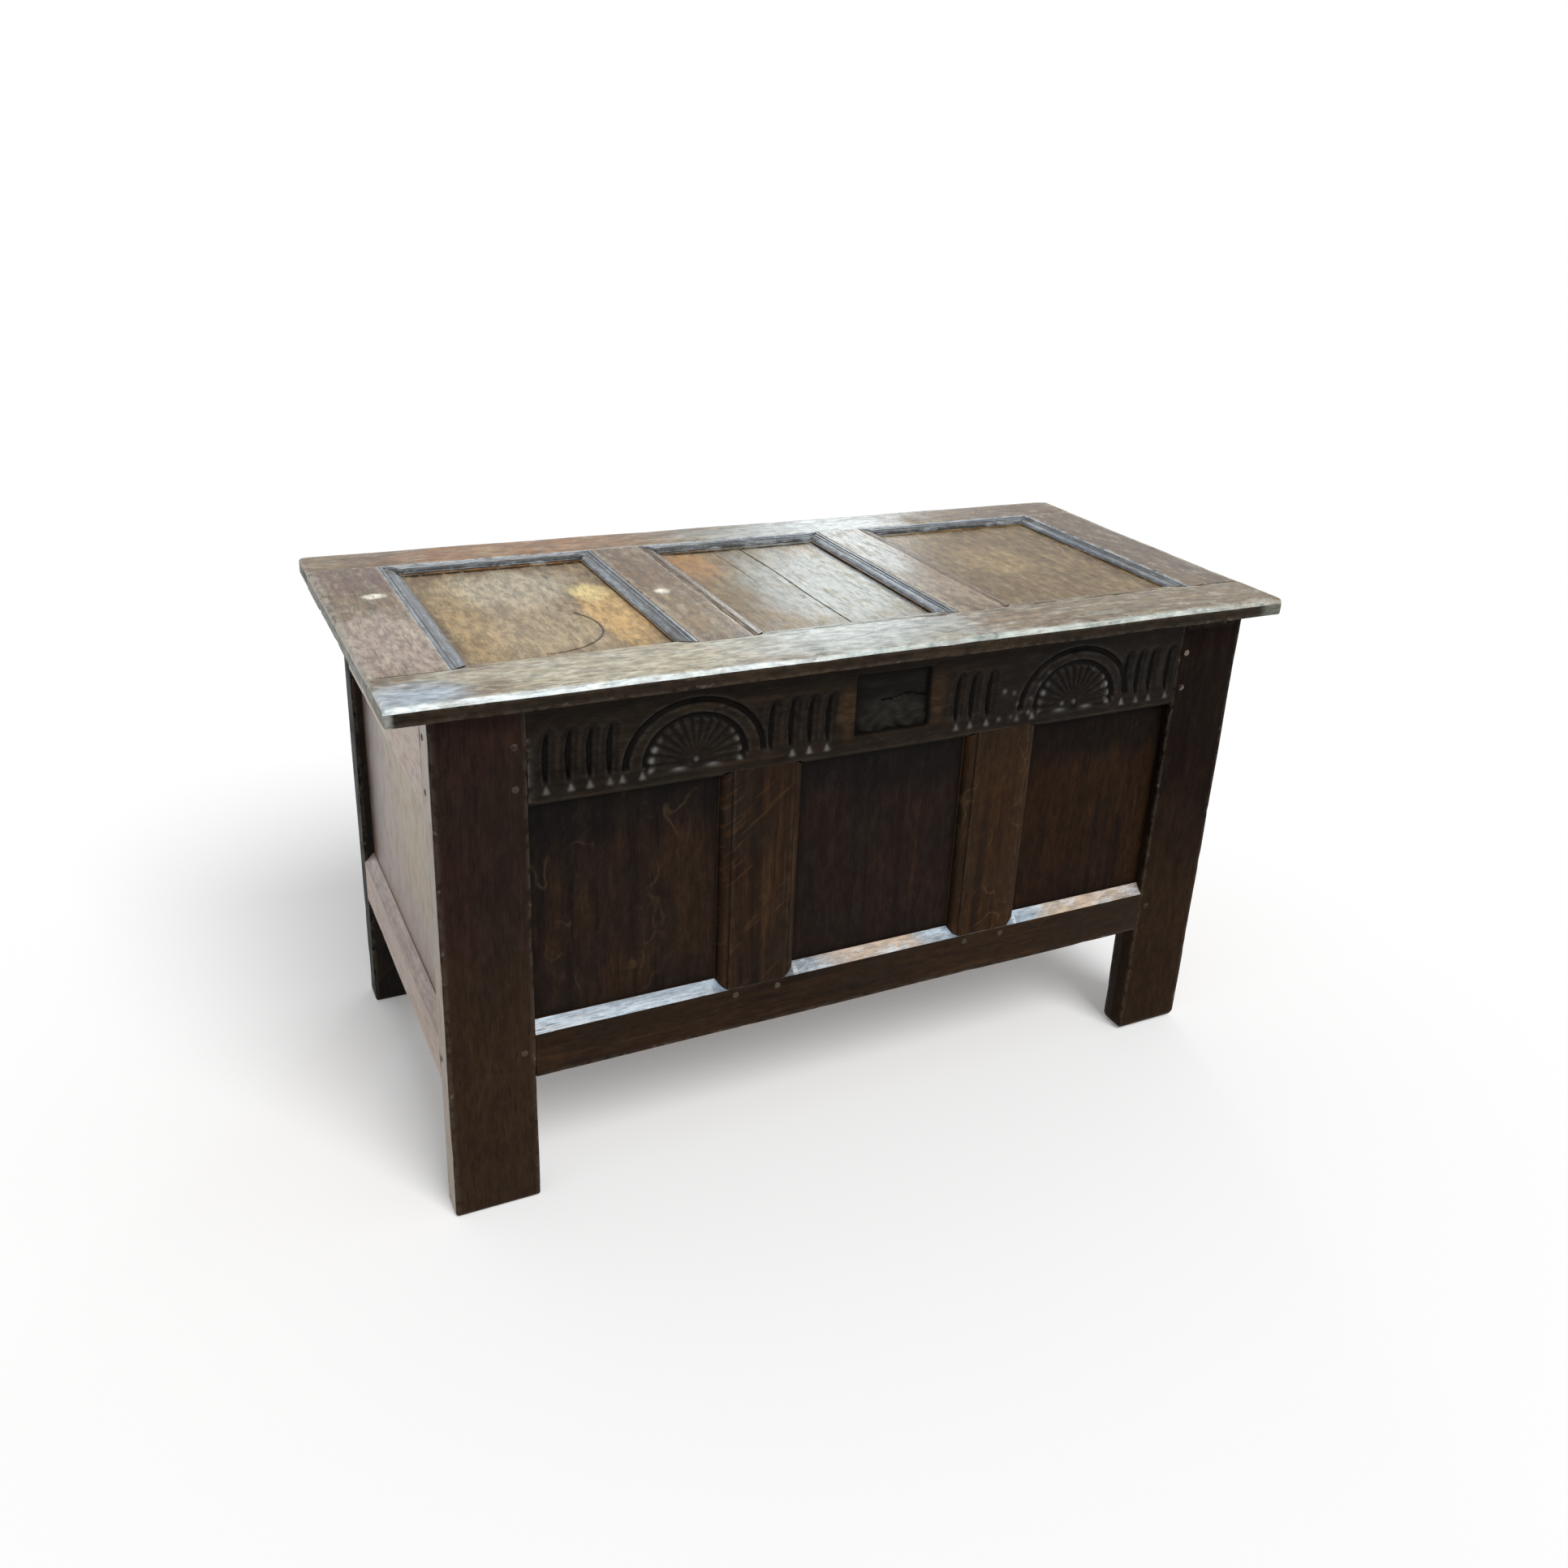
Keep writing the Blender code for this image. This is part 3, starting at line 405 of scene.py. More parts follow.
def oak(name, grain, face, seed, look, patches=()):
    """Oak with its grain along one axis and its face square to another.

    A patch is a centre, its reach on each axis, a colour and its strength.
    """
    made = bpy.data.materials.new(name)
    s = Shade(made)
    dark, mid, light, worn, grime, hue = (srgb(*tone) for tone in look[:len(TONES)])
    place = s.place()
    parts = s.node("ShaderNodeSeparateXYZ", {0: place}).outputs
    axes = {0: parts[grain], 1: parts[X + Y + Z - grain - face], 2: parts[face]}
    lined = s.node("ShaderNodeCombineXYZ", axes).outputs[0]
    shifted = s.vector("ADD", lined, seeded_shift(seed))
    sway = s.times(s.noise(shifted, DRIFT), DRIFT_REACH)
    bent = s.vector("ADD", shifted, s.node("ShaderNodeCombineXYZ", {1: sway}).outputs[0])

    rings = s.noise(bent, RINGS)
    fibre = s.noise(bent, FIBRE)
    pores = s.marks(bent, PORES)
    tone = s.noise(shifted, TONE)
    blotch = s.marks(shifted, BLOTCH)
    body = s.weighed((rings, tone, fibre), BODY_SHARES)
    colour = s.blend(s.fade(body, *DARK_TO_MID), dark, mid)
    colour = s.blend(s.fade(body, *MID_TO_LIGHT), colour, light)
    colour = s.blend(s.marks(shifted, ZONES, look.zone), colour, hue)

    for centre, reach, tint, strength in patches:
        offset = s.vector("DIVIDE", s.vector("SUBTRACT", place, centre), reach)
        span = s.node("ShaderNodeVectorMath", {0: offset}, operation="LENGTH").outputs["Value"]
        ragged = s.maths("ADD", span, s.noise(shifted, RAGGED))
        colour = s.blend(s.fade(ragged, *RAGGED.fade, 0.0, strength), colour, srgb(*tint))

    turn = s.node("ShaderNodeMapping", {"Vector": shifted, "Rotation": (0.0, 0.0, RAY_TURN)}).outputs[0]
    colour = s.blend(s.marks(turn, RAYS, look.fleck), colour, light)
    if look.curl:
        away = s.maths("ABSOLUTE", s.maths("SUBTRACT", s.noise(shifted, CURLS), CURL_MIDDLE), 0.0)
        spread = s.marks(shifted, CURL_SPREAD, look.curl)
        colour = s.blend(s.times(s.fade(away, *CURLS.fade), spread), colour, srgb(*CURL_TINT))
    colour = s.blend(s.times(blotch, look.mottle), colour, worn)
    colour = s.blend(s.marks(shifted, STAINS, look.stain), colour, dark)
    grit = s.fade(s.noise(shifted, GRIT), *GRIT.fade, 1.0 - look.grit, 1.0 + look.grit)
    colour = s.blend(1.0, colour, grit, "MULTIPLY")
    colour = s.blend(s.times(pores, PORE_DIRT), colour, grime)

    for layer, strength in ((RUBBED, look.edge), (SPECKS, look.chip)):
        colour = s.blend(s.times(s.attribute("wear"), s.marks(shifted, layer, strength)), colour, worn)
    colour = s.blend(s.attribute("bare"), colour, worn)
    # The grime attribute darkens with dirt, and with painted shade in corners, rims and carved hollows
    colour = s.blend(s.attribute("grime"), colour, grime)

    relief = s.weighed((fibre, rings, pores, blotch), RELIEF_SHARES)
    gloss = s.weighed((tone, blotch), GLOSS_SHARES)
    s.finish({
        "Normal": s.bump(relief, *OAK_BUMP), "Base Color": colour, "Specular IOR Level": look.specular,
        "Roughness": s.fade(gloss, *GLOSS_FADE, *look.rough),
    })
    return made


IRON_DARK = srgb(38, 35, 34)
IRON_LIGHT = srgb(84, 78, 74)
IRON_RUST = srgb(92, 52, 30)
SCALE = Layer((90.0, 90.0, 90.0), 4.0, 0.6, (0.35, 0.65))
DENTS = Layer((160.0, 160.0, 160.0), 1.0)
RUST = Layer((60.0, 60.0, 60.0), 5.0, 0.7, (0.52, 0.68))
RUST_SHARE = 0.7
IRON_BUMP = (0.0012, 0.4)
IRON_ROUGH, IRON_METAL = (0.45, 0.85), (0.85, 0.10)


def iron(name, seed):
    """Forged iron: hammered, dark, with patches of rust."""
    made = bpy.data.materials.new(name)
    s = Shade(made)
    shifted = s.vector("ADD", s.place(), seeded_shift(seed))
    scale = s.noise(shifted, SCALE)
    rust = s.marks(shifted, RUST)
    colour = s.blend(s.fade(scale, *SCALE.fade), IRON_DARK, IRON_LIGHT)
    colour = s.blend(s.times(rust, RUST_SHARE), colour, IRON_RUST)
    s.finish({
        "Normal": s.bump(s.maths("ADD", s.noise(shifted, DENTS), scale), *IRON_BUMP), "Base Color": colour,
        "Roughness": s.fade(rust, 0.0, 1.0, *IRON_ROUGH), "Metallic": s.fade(rust, 0.0, 1.0, *IRON_METAL),
    })
    return made


# Meshes
SHARP = math.radians(38.0)


def finish_mesh(name, places, faces, slots, attributes, materials):
    """An object from points and faces, with its attributes and materials."""
    mesh = bpy.data.meshes.new(name)
    mesh.from_pydata(places.tolist(), [], faces)
    mesh.update()
    mesh.polygons.foreach_set("material_index", slots)
    for key, values in attributes.items():
        layer = mesh.attributes.new(key, "FLOAT", "POINT")
        layer.data.foreach_set("value", values.astype(np.float32).ravel())
    for material in materials:
        mesh.materials.append(material)
    mesh.shade_smooth()
    mesh.set_sharp_from_angle(angle=SHARP)
    made = bpy.data.objects.new(name, mesh)
    bpy.context.scene.collection.objects.link(made)
    return made


def looks_inwards(rings):
    """Whether the faces between closed rings would look inwards, told by the sign of their volume."""
    centred = rings - rings.reshape(-1, 3).mean(0)
    a, d = centred[:-1], centred[1:]
    b, c = np.roll(a, -1, axis=1), np.roll(d, -1, axis=1)
    return np.sum(a * (np.cross(b, c) + np.cross(c, d))) < 0


def ring_faces(count, around, start=0):
    """The faces between rings of points, and one over each end."""
    index = np.arange(count * around).reshape(count, around) + start
    following = np.roll(index, -1, axis=1)
    quads = np.stack((index[:-1], following[:-1], following[1:], index[1:]), -1).reshape(-1, 4)
    return quads.tolist() + [index[0][::-1].tolist(), index[-1].tolist()]


def dress(piece, *nodes):
    """Puts a piece in place of its CAD nodes, on their body."""
    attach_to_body(piece, BODY_OF[nodes[0]])
    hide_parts(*nodes)


def attach(piece, body):
    """Puts a piece that the solids don't have on a body."""
    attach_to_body(piece, body)


def loft(node, rings, materials, slots, attributes, cap=OUTER, kind="board"):
    """A closed solid through rings of points, capped at both ends, in place of a node."""
    if looks_inwards(rings):
        rings = rings[::-1]
        attributes = {key: values[::-1] for key, values in attributes.items()}
    count, around = rings.shape[:2]
    face_slots = np.concatenate((np.tile(slots, count - 1), (cap, cap)))
    faces = ring_faces(count, around)
    dress(finish_mesh(f"{node}_{kind}", rings.reshape(-1, 3), faces, face_slots, attributes, materials), node)


EVEN_WEAR = 0.5


def joined(name, ring_sets, material, wear=EVEN_WEAR):
    """One object from several closed lofts."""
    places, faces, start = [], [], 0
    for rings in ring_sets:
        if looks_inwards(rings):
            rings = rings[::-1]
        count, around = rings.shape[:2]
        faces += ring_faces(count, around, start)
        places.append(rings.reshape(-1, 3))
        start += count * around
    marks = {"wear": np.full(start, wear), "grime": np.zeros(start)}
    return finish_mesh(name, np.concatenate(places), faces, np.zeros(len(faces), int), marks, [material])


Section = namedtuple("Section", "points arris inward corner slots dirt")
INSIDE_BEND = 0.5
# How dark a moulding's inward bends are made: dirt and painted shade
CORNER_DIRT_AND_SHADE = 0.7


def section(corners):
    """A closed cross-section from corners (width, depth, radius, slot of the face that follows).

    Dirt and painted shade darken it where its outline bends inwards.
    """
    rows = []
    still = np.zeros(2)
    outline = np.array([corner[:2] for corner in corners])
    wide, deep = outline.T
    area = np.sum(wide * np.roll(deep, -1) - np.roll(wide, -1) * deep)
    for i, (_, _, radius, slot) in enumerate(corners):
        here = outline[i]
        back, onward = outline[i - 1] - here, outline[(i + 1) % len(corners)] - here
        back_length, onward_length = np.linalg.norm(back), np.linalg.norm(onward)
        back, onward = back / back_length, onward / onward_length
        if radius == 0.0:
            bend = (back[1] * onward[0] - back[0] * onward[1]) * np.sign(area)
            rows.append((here, 0.0, still, i, slot, CORNER_DIRT_AND_SHADE if bend < -INSIDE_BEND else 0.0))
            continue
        way = (back + onward) / np.linalg.norm(back + onward)
        reach = radius + SHOULDER
        room = 2 * reach + FIT
        if back_length > room:
            rows.append((here + back * reach, 0.0, still, i, corners[i - 1][3], 0.0))
        near, far = here + back * radius, here + onward * radius
        for step in np.linspace(0.0, 1.0, ARC_STEPS + 1):
            curve = (1 - step) ** 2 * near + 2 * step * (1 - step) * here + step ** 2 * far
            rows.append((curve, 1.0, way, i, slot, 0.0))
        if onward_length > room:
            rows.append((here + onward * reach, 0.0, still, i, slot, 0.0))
    return Section(*(np.array(column) for column in zip(*rows)))


NEAREST = 0.2


def stations(start, end, step, extra=()):
    """Places along a member, with the ones named kept exactly."""
    count = max(2, int(round((end - start) / step)) + 1)
    kept = [value for value in extra if start < value < end]
    regular = np.linspace(start, end, count)[1:-1]
    for value in kept:
        regular = regular[np.abs(regular - value) > step * NEAREST]
    return np.unique(np.concatenate(((start, end), kept, regular)))


ANY_PHASE = (0.0, 6.3)
WEAR_WAVES, WAVE_SHARE = (18.0, 34.0), 0.25
KNOCKS_A_METRE = 7.0
KNOCK_REACH, KNOCK_DEPTH = (0.004, 0.016), (0.3, 1.2)


def worn_depths(places, corners, draw, amount):
    """How far each corner is worn back along a member: a slow wave and a few knocks."""
    length = places[-1] - places[0]
    rows = []
    for _ in range(corners):
        phase, wave = draw.uniform(*ANY_PHASE), draw.uniform(*WEAR_WAVES)
        depth = WAVE_SHARE * amount * (1.0 + np.sin(wave * places + phase))
        for _ in range(int(length * KNOCKS_A_METRE) + 1):
            spot, reach = draw.uniform(places[0], places[-1]), draw.uniform(*KNOCK_REACH)
            depth += amount * draw.uniform(*KNOCK_DEPTH) * np.exp(-((places - spot) / reach) ** 2)
        rows.append(depth)
    return np.array(rows)


RIPPLE, RIPPLES, RIPPLE_WAVES = 0.00011, 4, 14.0
RIPPLE_SEED = 1000


def ripple(places, seed):
    """The slight unevenness of a hand-planed board, kept inside the solids' box."""
    draw = np.random.default_rng(seed + RIPPLE_SEED)
    moved = places.copy()
    for _ in range(RIPPLES):
        ways, phase = draw.normal(0.0, RIPPLE_WAVES, (3, 3)), draw.uniform(*ANY_PHASE, 3)
        moved += RIPPLE * np.sin(places @ ways + phase)
    return np.clip(moved, CAD_BOX[0], CAD_BOX[1])


ROUND_STEPS = (0.12, 0.4, 1.0)


def sweep(node, corners, place, start, end, seed, materials, step=STATION, extra=(), wear=WEAR,
          morph=None, ends=None, rounds=(0.0, 0.0), cap=OUTER):
    """A board: a cross-section carried along its length, in place of a node.

    morph moves the widths at a place along the board. ends gives, for each width, how far the two ends stand
    in from start and end, as at a mitre. rounds are the radii to which the two ends are eased.
    """
    cross = section(corners)
    draw = np.random.default_rng(seed)
    close = [start + rounds[0] * share for share in ROUND_STEPS if rounds[0]]
    close += [end - rounds[1] * share for share in ROUND_STEPS if rounds[1]]
    places = stations(start, end, step, (*extra, *close))
    depths = worn_depths(places, cross.corner.max() + 1, draw, wear)[cross.corner].T
    moved = cross.points[None] + cross.inward[None] * depths[:, :, None] * cross.arris[None, :, None]
    width, depth = moved[..., 0], moved[..., 1]
    if morph:
        width = morph(places[:, None], width)
    least, most = cross.points.min(0), cross.points.max(0)
    middle, half = (least + most) / 2, (most - least) / 2
    worn = np.repeat(cross.arris[None], len(places), axis=0)
    edges = np.minimum(np.abs(places - start), np.abs(places - end))
    for edge, radius in ((start, rounds[0]), (end, rounds[1])):
        if radius:
            inset = np.clip(radius - np.abs(places - edge), 0.0, radius)
            drawn_in = (radius - np.sqrt(radius ** 2 - inset ** 2))[:, None]
            width = middle[0] + (width - middle[0]) * (1.0 - drawn_in / half[0])
            depth = middle[1] + (depth - middle[1]) * (1.0 - drawn_in / half[1])
            worn = np.maximum(worn, (edges < radius)[:, None])
    along = np.repeat(places[:, None], width.shape[1], axis=1)
    if ends:
        near, far = ends(cross.points[:, 0])
        share = (along - start) / (end - start)
        along = start + near + share * (end - start - near - far)
    rings = ripple(place(along, width, depth), seed)
    dirt = np.repeat(cross.dirt[None], len(places), axis=0)
    loft(node, rings, materials, cross.slots, {"wear": worn, "grime": dirt}, cap)


# Cross-sections
MOULD_ROWS = ((0.00, 1.00), (0.15, 1.00), (0.18, 0.80))
LID_MOULD_ROWS = (
    (0.00, 1.00), (0.20, 0.99), (0.07, 0.94), (0.07, 0.82), (0.36, 0.76), (0.36, 0.71), (0.22, 0.67),
    (0.22, 0.60), (0.40, 0.56),
)
OVOLO_STEPS = 7
OVOLO_FOOT = 0.10


def moulded(sight, face, rows, depth, back_edge, slot=POLISHED):
    """Corners of a moulded edge from the face down to the sight edge and on to the back edge's depth.

    Rows give the depth and width of its steps, as shares; an ovolo follows them.
    """
    width = face - sight
    corners = [(sight + width * share, depth * fall, SOFT_ARRIS if fall == 0.0 else 0.0, slot)
               for fall, share in rows]
    top_fall, top_share = rows[-1]
    for step in range(1, OVOLO_STEPS + 1):
        turn = step / OVOLO_STEPS
        bulge = 1.0 - math.sqrt(1.0 - (1.0 - turn) ** 2)
        share = OVOLO_FOOT + (top_share - OVOLO_FOOT) * bulge
        corners.append((sight + width * share, depth * (top_fall + (1.0 - top_fall) * turn), 0.0, slot))
    corners.append((sight, depth + FIT, 0.0, OUTER))
    corners.append((sight, back_edge, INNER_ARRIS, INNER))
    return corners


def lid_moulded(sight, face, thick=LID_T, slot=POLISHED):
    return moulded(sight, face, LID_MOULD_ROWS, LID_MOULD_DEPTH, thick, slot)


def plain(width0, width1, depth1, radii=(ARRIS, ARRIS), back_radius=INNER_ARRIS, first_edge=OUTER):
    """Corners of a plain board: its face, its edges, and its inner side."""
    return [
        (width0, 0.0, radii[0], OUTER), (width1, 0.0, radii[1], OUTER),
        (width1, depth1, back_radius, INNER), (width0, depth1, back_radius, first_edge),
    ]


def chamfered_rail():
    """Corners of a bottom rail with its chamfer under the panels."""
    return [
        (LEG_H, 0.0, ARRIS, OUTER), (LOW_EDGE, 0.0, 0.0, POLISHED),
        (LOW_SIGHT - CHAMFER_FLAT * CHAMFER_H, MOULD_DEPTH, 0.0, OUTER),
        (LOW_SIGHT, MOULD_DEPTH + FIT, 0.0, OUTER),
        (LOW_SIGHT, RAIL_T, INNER_ARRIS, INNER), (LEG_H, RAIL_T, INNER_ARRIS, OUTER),
    ]


def middle_x(node):
    return (low(node, X) + high(node, X)) / 2


def half_width(node):
    return (high(node, X) - low(node, X)) / 2


# Muntins: their middles, their reach to the openings, and their reach less the moulding
FRONT_MUNTINS = (middle_x("front_left_muntin"), middle_x("front_right_muntin"))
FRONT_SPREAD = half_width("front_left_muntin")
FRONT_FACE = FRONT_SPREAD - MUNTIN_MOULD_W
REAR_MUNTIN_X = middle_x("rear_right_muntin")
REAR_SPREAD = half_width("rear_left_muntin")
LID_MUNTINS = (middle_x("lid_left_muntin"), middle_x("lid_right_muntin"))
LID_SPREAD = half_width("lid_left_muntin")
LID_FACE = LID_SPREAD - LID_MOULD_W


def openings(end, muntins, spread):
    """The openings that muntins leave between two ends."""
    edges = [-end]
    for x in muntins:
        edges += [x - spread, x + spread]
    edges.append(end)
    return list(zip(edges[::2], edges[1::2]))


def muntin_share(along):
    """1 where a front muntin's face meets a rail, 0 at the openings, and a slope across the mitre."""
    share = np.zeros_like(along)
    for x in FRONT_MUNTINS:
        slope = (FRONT_SPREAD - np.abs(along - x)) / (FRONT_SPREAD - FRONT_FACE)
        share = np.maximum(share, np.clip(slope, 0.0, 1.0))
    return share


MUNTIN_BREAKS = [x + sign * reach for x in FRONT_MUNTINS for sign in (-1, 1)
                 for reach in (FRONT_FACE, FRONT_SPREAD)]


# Members of the walls. A reach of FAR leaves a patch without bounds on that axis.
FAR = 9.0
WARM_FOOT = ((0.0, 0.0, 0.02), (FAR, FAR, 0.42), (47, 33, 20), 0.7)
DARK_LEG = ((0.0, 0.0, 0.04), (FAR, FAR, 0.20), (12, 9, 8), 0.95)
DARK_REBATES = [((x, 0.0, 0.25), (0.036, FAR, 0.75), (12, 9, 9), 1.0) for x in (LEFT_X, RIGHT_X)]
# Pinkish white on the front chamfers: painted reflections
WARM_CHAMFER_REFLECTIONS = [((x, FRONT_Y, LOW_SIGHT), (reach, FAR, FAR), (190, 167, 143), 0.9)
                 for x, reach in ((0.018, 0.10), (0.375, 0.13))]
SIDE_TOP = ((0.0, 0.0, BODY_H), (FAR, 0.40, 0.22), (150, 108, 76), 0.75)


def member_materials(name, axes, seed, look, polished=None, patches=(), inner_patches=(), edge_patches=()):
    """Materials of a member's outside and inside, and of its mouldings where it has any.

    The axes are those of its grain and of its face.
    """
    made = [oak(f"{name}_oak", *axes, seed, look, patches),
            oak(f"{name}_inside", *axes, seed, BARE_LOOK, inner_patches)]
    if polished:
        made.append(oak(f"{name}_edges", *axes, seed, polished, edge_patches))
    return made


def stiles():
    """The corner posts, which run down as legs: dark below the rails on every side, bare inside the box."""
    for wall, place, sides, first_seed, edge_look, dark in (
        ("front", front, ("left", "right"), FRONT_STILE_SEED, SIDE_SHEEN_LOOK, (DARK_LEG,)),
        ("rear", rear, ("right", "left"), REAR_STILE_SEED, POST_LOOK, (DARK_LEG, *DARK_REBATES)),
    ):
        for number, sign in enumerate((-1, 1)):
            node, seed = f"{wall}_{sides[number]}_stile", first_seed + number
            dim = node == "front_right_stile"
            radii = (STILE_ARRIS, SOFT_ARRIS)
            corners = plain(sign * RIGHT_X, sign * STILE_IN, STILE_T, radii, ARRIS, POLISHED)
            corners.insert(2, (sign * STILE_IN, PANEL_DEPTHS[1], 0.0, INNER))
            look = DIM_LOOK if dim else FRONT_LOOK
            materials = member_materials(node, (Z, Y), seed, look, edge_look, (WARM_FOOT,), dark)
            rounds = (WORN_FOOT_ROUND if dim else FOOT_ROUND, 0.0)
            sweep(node, corners, turned(place), 0.0, BODY_H, seed, materials, wear=STILE_WEAR, rounds=rounds,
                  cap=INNER)


def front_rails_and_muntins():
    def step_back(along, width):
        share = muntin_share(along)
        return np.where(width > LOW_EDGE, LOW_EDGE + (1.0 - share) * (width - LOW_EDGE), width)

    node, end = "front_bottom_rail", STILE_IN - FIT
    materials = member_materials(node, (X, Y), BOTTOM_RAIL_SEED, RAIL_LOOK, CHAMFER_REFLECTION_LOOK,
                                 edge_patches=WARM_CHAMFER_REFLECTIONS)
    sweep(node, chamfered_rail(), front, -end, end, BOTTOM_RAIL_SEED, materials, extra=MUNTIN_BREAKS,
          morph=step_back)

    for number, (side, look) in enumerate((("left", MUNTIN_LOOK), ("right", CURLED_LOOK))):
        node, seed, x = f"front_{side}_muntin", FRONT_MUNTIN_SEED + number, FRONT_MUNTINS[number]
        right_edge, left_edge = (
            moulded(x + sign * FRONT_SPREAD, x + sign * FRONT_FACE, MOULD_ROWS, MOULD_DEPTH, RAIL_T)
            for sign in (1, -1)
        )
        behind = [(x + sign * FRONT_FACE, RAIL_T, 0.0, INNER) for sign in (1, -1)]
        corners = [*right_edge, *behind, *left_edge[::-1]]
        corners[-1] = (*corners[-1][:3], OUTER)

        def mitre(width, x=x):
            over = np.clip(np.abs(width - x) - FRONT_FACE, 0.0, None) / MUNTIN_MOULD_W
            return over * CHAMFER_H, over * RAIL_MOULD_W

        materials = member_materials(node, (Z, Y), seed, look, look)
        sweep(node, corners, turned(front), LOW_EDGE + FIT, HIGH_EDGE - FIT, seed, materials, ends=mitre)


def rear_and_side_rails():
    end = STILE_IN - FIT
    for number, (kind, z0, z1) in enumerate((("bottom", LEG_H, LOW_SIGHT), ("top", HIGH_SIGHT, BODY_H))):
        node, seed = f"rear_{kind}_rail", REAR_RAIL_SEED + number
        materials = member_materials(node, (X, Y), seed, REAR_LOOK)
        sweep(node, plain(z0, z1, RAIL_T), rear, -end, end, seed, materials)
    for number, side in enumerate(("left", "right")):
        node, seed = f"rear_{side}_muntin", REAR_MUNTIN_SEED + number
        x = -middle_x(node)
        materials = member_materials(node, (Z, Y), seed, REAR_LOOK)
        sweep(node, plain(x - REAR_SPREAD, x + REAR_SPREAD, RAIL_T), turned(rear), LOW_SIGHT + FIT,
              HIGH_SIGHT - FIT, seed, materials)
    end = SIDE_REACH - FIT
    for side, place, seed in (("left", left, SIDE_RAIL_SEED), ("right", right, SIDE_RAIL_SEED + 2)):
        node = f"{side}_bottom_rail"
        materials = member_materials(node, (Y, X), seed, SIDE_RAIL_SHEEN_LOOK, SIDE_CHAMFER_REFLECTION_LOOK)
        sweep(node, chamfered_rail(), place, -end, end, seed, materials)
        node = f"{side}_top_rail"
        materials = member_materials(node, (Y, X), seed + 1, SIDE_SHEEN_LOOK, patches=(SIDE_TOP,))
        sweep(node, plain(HIGH_SIGHT, BODY_H, RAIL_T), place, -end, end, seed + 1, materials)


# Panels
PANEL_LAP = 0.0008
PANEL_STEP = 0.018
PANEL_MARGINS = (0.0015, 0.005, 0.012)
# How dark a panel is made at its rim, and how far that reaches: dirt and painted shade in the corner
PANEL_DIRT_AND_SHADE, LID_PANEL_DIRT_AND_SHADE, DIRT_AND_SHADE_REACH = 0.8, 0.35, 0.006
GROOVE, LOCK_GROOVE = 0.0012, 0.0040
PANEL_LOOKS = {"left": SPLASHED_LOOK, "middle": PANEL_LOOK, "right": WARM_PANEL_LOOK}
# A painted shadow of the frieze across the top of the front panels
FRIEZE_SHADOW_ON_PANELS = ((0.0, FRONT_Y, HIGH_SIGHT), (FAR, FAR, 0.08), (13, 10, 11), 0.75)
# The side panels: yellow-beige in the middle, a painted purple-grey shade towards the rear stile, and greyer
# towards the bottom
SIDE_PATCHES = (
    ((LEFT_X, -0.10, 0.49), (FAR, 0.18, 0.18), (138, 113, 56), 0.8),
    ((LEFT_X, 0.20, 0.45), (FAR, 0.09, 0.40), (98, 80, 80), 0.7),
    ((LEFT_X, -0.02, 0.29), (FAR, 0.40, 0.07), (122, 98, 90), 0.6),
)


def field(start, end, step=PANEL_STEP):
    """Places across a panel that laps an opening, closer together at its edges."""
    start, end = start - PANEL_LAP, end + PANEL_LAP
    last = PANEL_MARGINS[-1]
    inner = np.linspace(start + last, end - last, max(3, int((end - start) / step)))
    rims = [start, end] + [start + m for m in PANEL_MARGINS] + [end - m for m in PANEL_MARGINS]
    return np.unique(np.concatenate((inner, rims)))


def rim(places):
    """How near each place is to the ends: 1 at an end, falling off over a reach."""
    edge = np.minimum(places - places[0], places[-1] - places)
    return np.exp(-edge / DIRT_AND_SHADE_REACH)


def panel(node, place, along, up, depths, seed, materials, carve=None, dirt=PANEL_DIRT_AND_SHADE, groove=GROOVE):
    """A panel board in place of a node: its face a grid that may be carved, its back flat.

    Dirt and painted shade darken the corner all round, and fill what is carved as deep as a groove.
    """
    face_depth, back_depth = depths
    grid_along, grid_up = np.meshgrid(along, up, indexing="ij")
    carved = np.zeros_like(grid_along) if carve is None else carve(grid_along, grid_up)
    face = ripple(place(grid_along, grid_up, face_depth + carved), seed)
    back = place(along[:, None], np.array((up[-1], up[0]))[None], np.full((1, 2), back_depth))
    rings = np.concatenate((face, back), axis=1)
    grime = np.maximum(rim(along)[:, None], rim(up)[None]) * dirt
    grime = np.maximum(grime, np.clip(carved / groove, 0.0, 1.0))
    grime = np.concatenate((grime, np.zeros((len(along), 2))), axis=1)
    slots = [OUTER] * len(up) + [INNER, OUTER]
    loft(node, rings, materials, slots, {"wear": np.zeros_like(grime), "grime": grime})


def wall_panels():
    def board(node, place, opening, face, seed, look, patches=()):
        materials = member_materials(node, (Z, face), seed, look, patches=patches)
        panel(node, place, field(*opening), field(LOW_SIGHT, HIGH_SIGHT), PANEL_DEPTHS, seed, materials)

    gaps = openings(STILE_IN, FRONT_MUNTINS, FRONT_SPREAD)
    for number, (side, look) in enumerate(PANEL_LOOKS.items()):
        board(f"front_{side}_panel", front, gaps[number], Y, FRONT_PANEL_SEED + number, look, (FRIEZE_SHADOW_ON_PANELS,))
    gaps = openings(STILE_IN, (-REAR_MUNTIN_X, REAR_MUNTIN_X), REAR_SPREAD)
    for number, side in enumerate(("right", "middle", "left")):
        board(f"rear_{side}_panel", rear, gaps[number], Y, REAR_PANEL_SEED + number, REAR_LOOK)
    for number, (side, place) in enumerate((("left", left), ("right", right))):
        gap = (-SIDE_REACH, SIDE_REACH)
        board(f"{side}_panel", place, gap, X, SIDE_PANEL_SEED + number, SIDE_SHEEN_LOOK, SIDE_PATCHES)


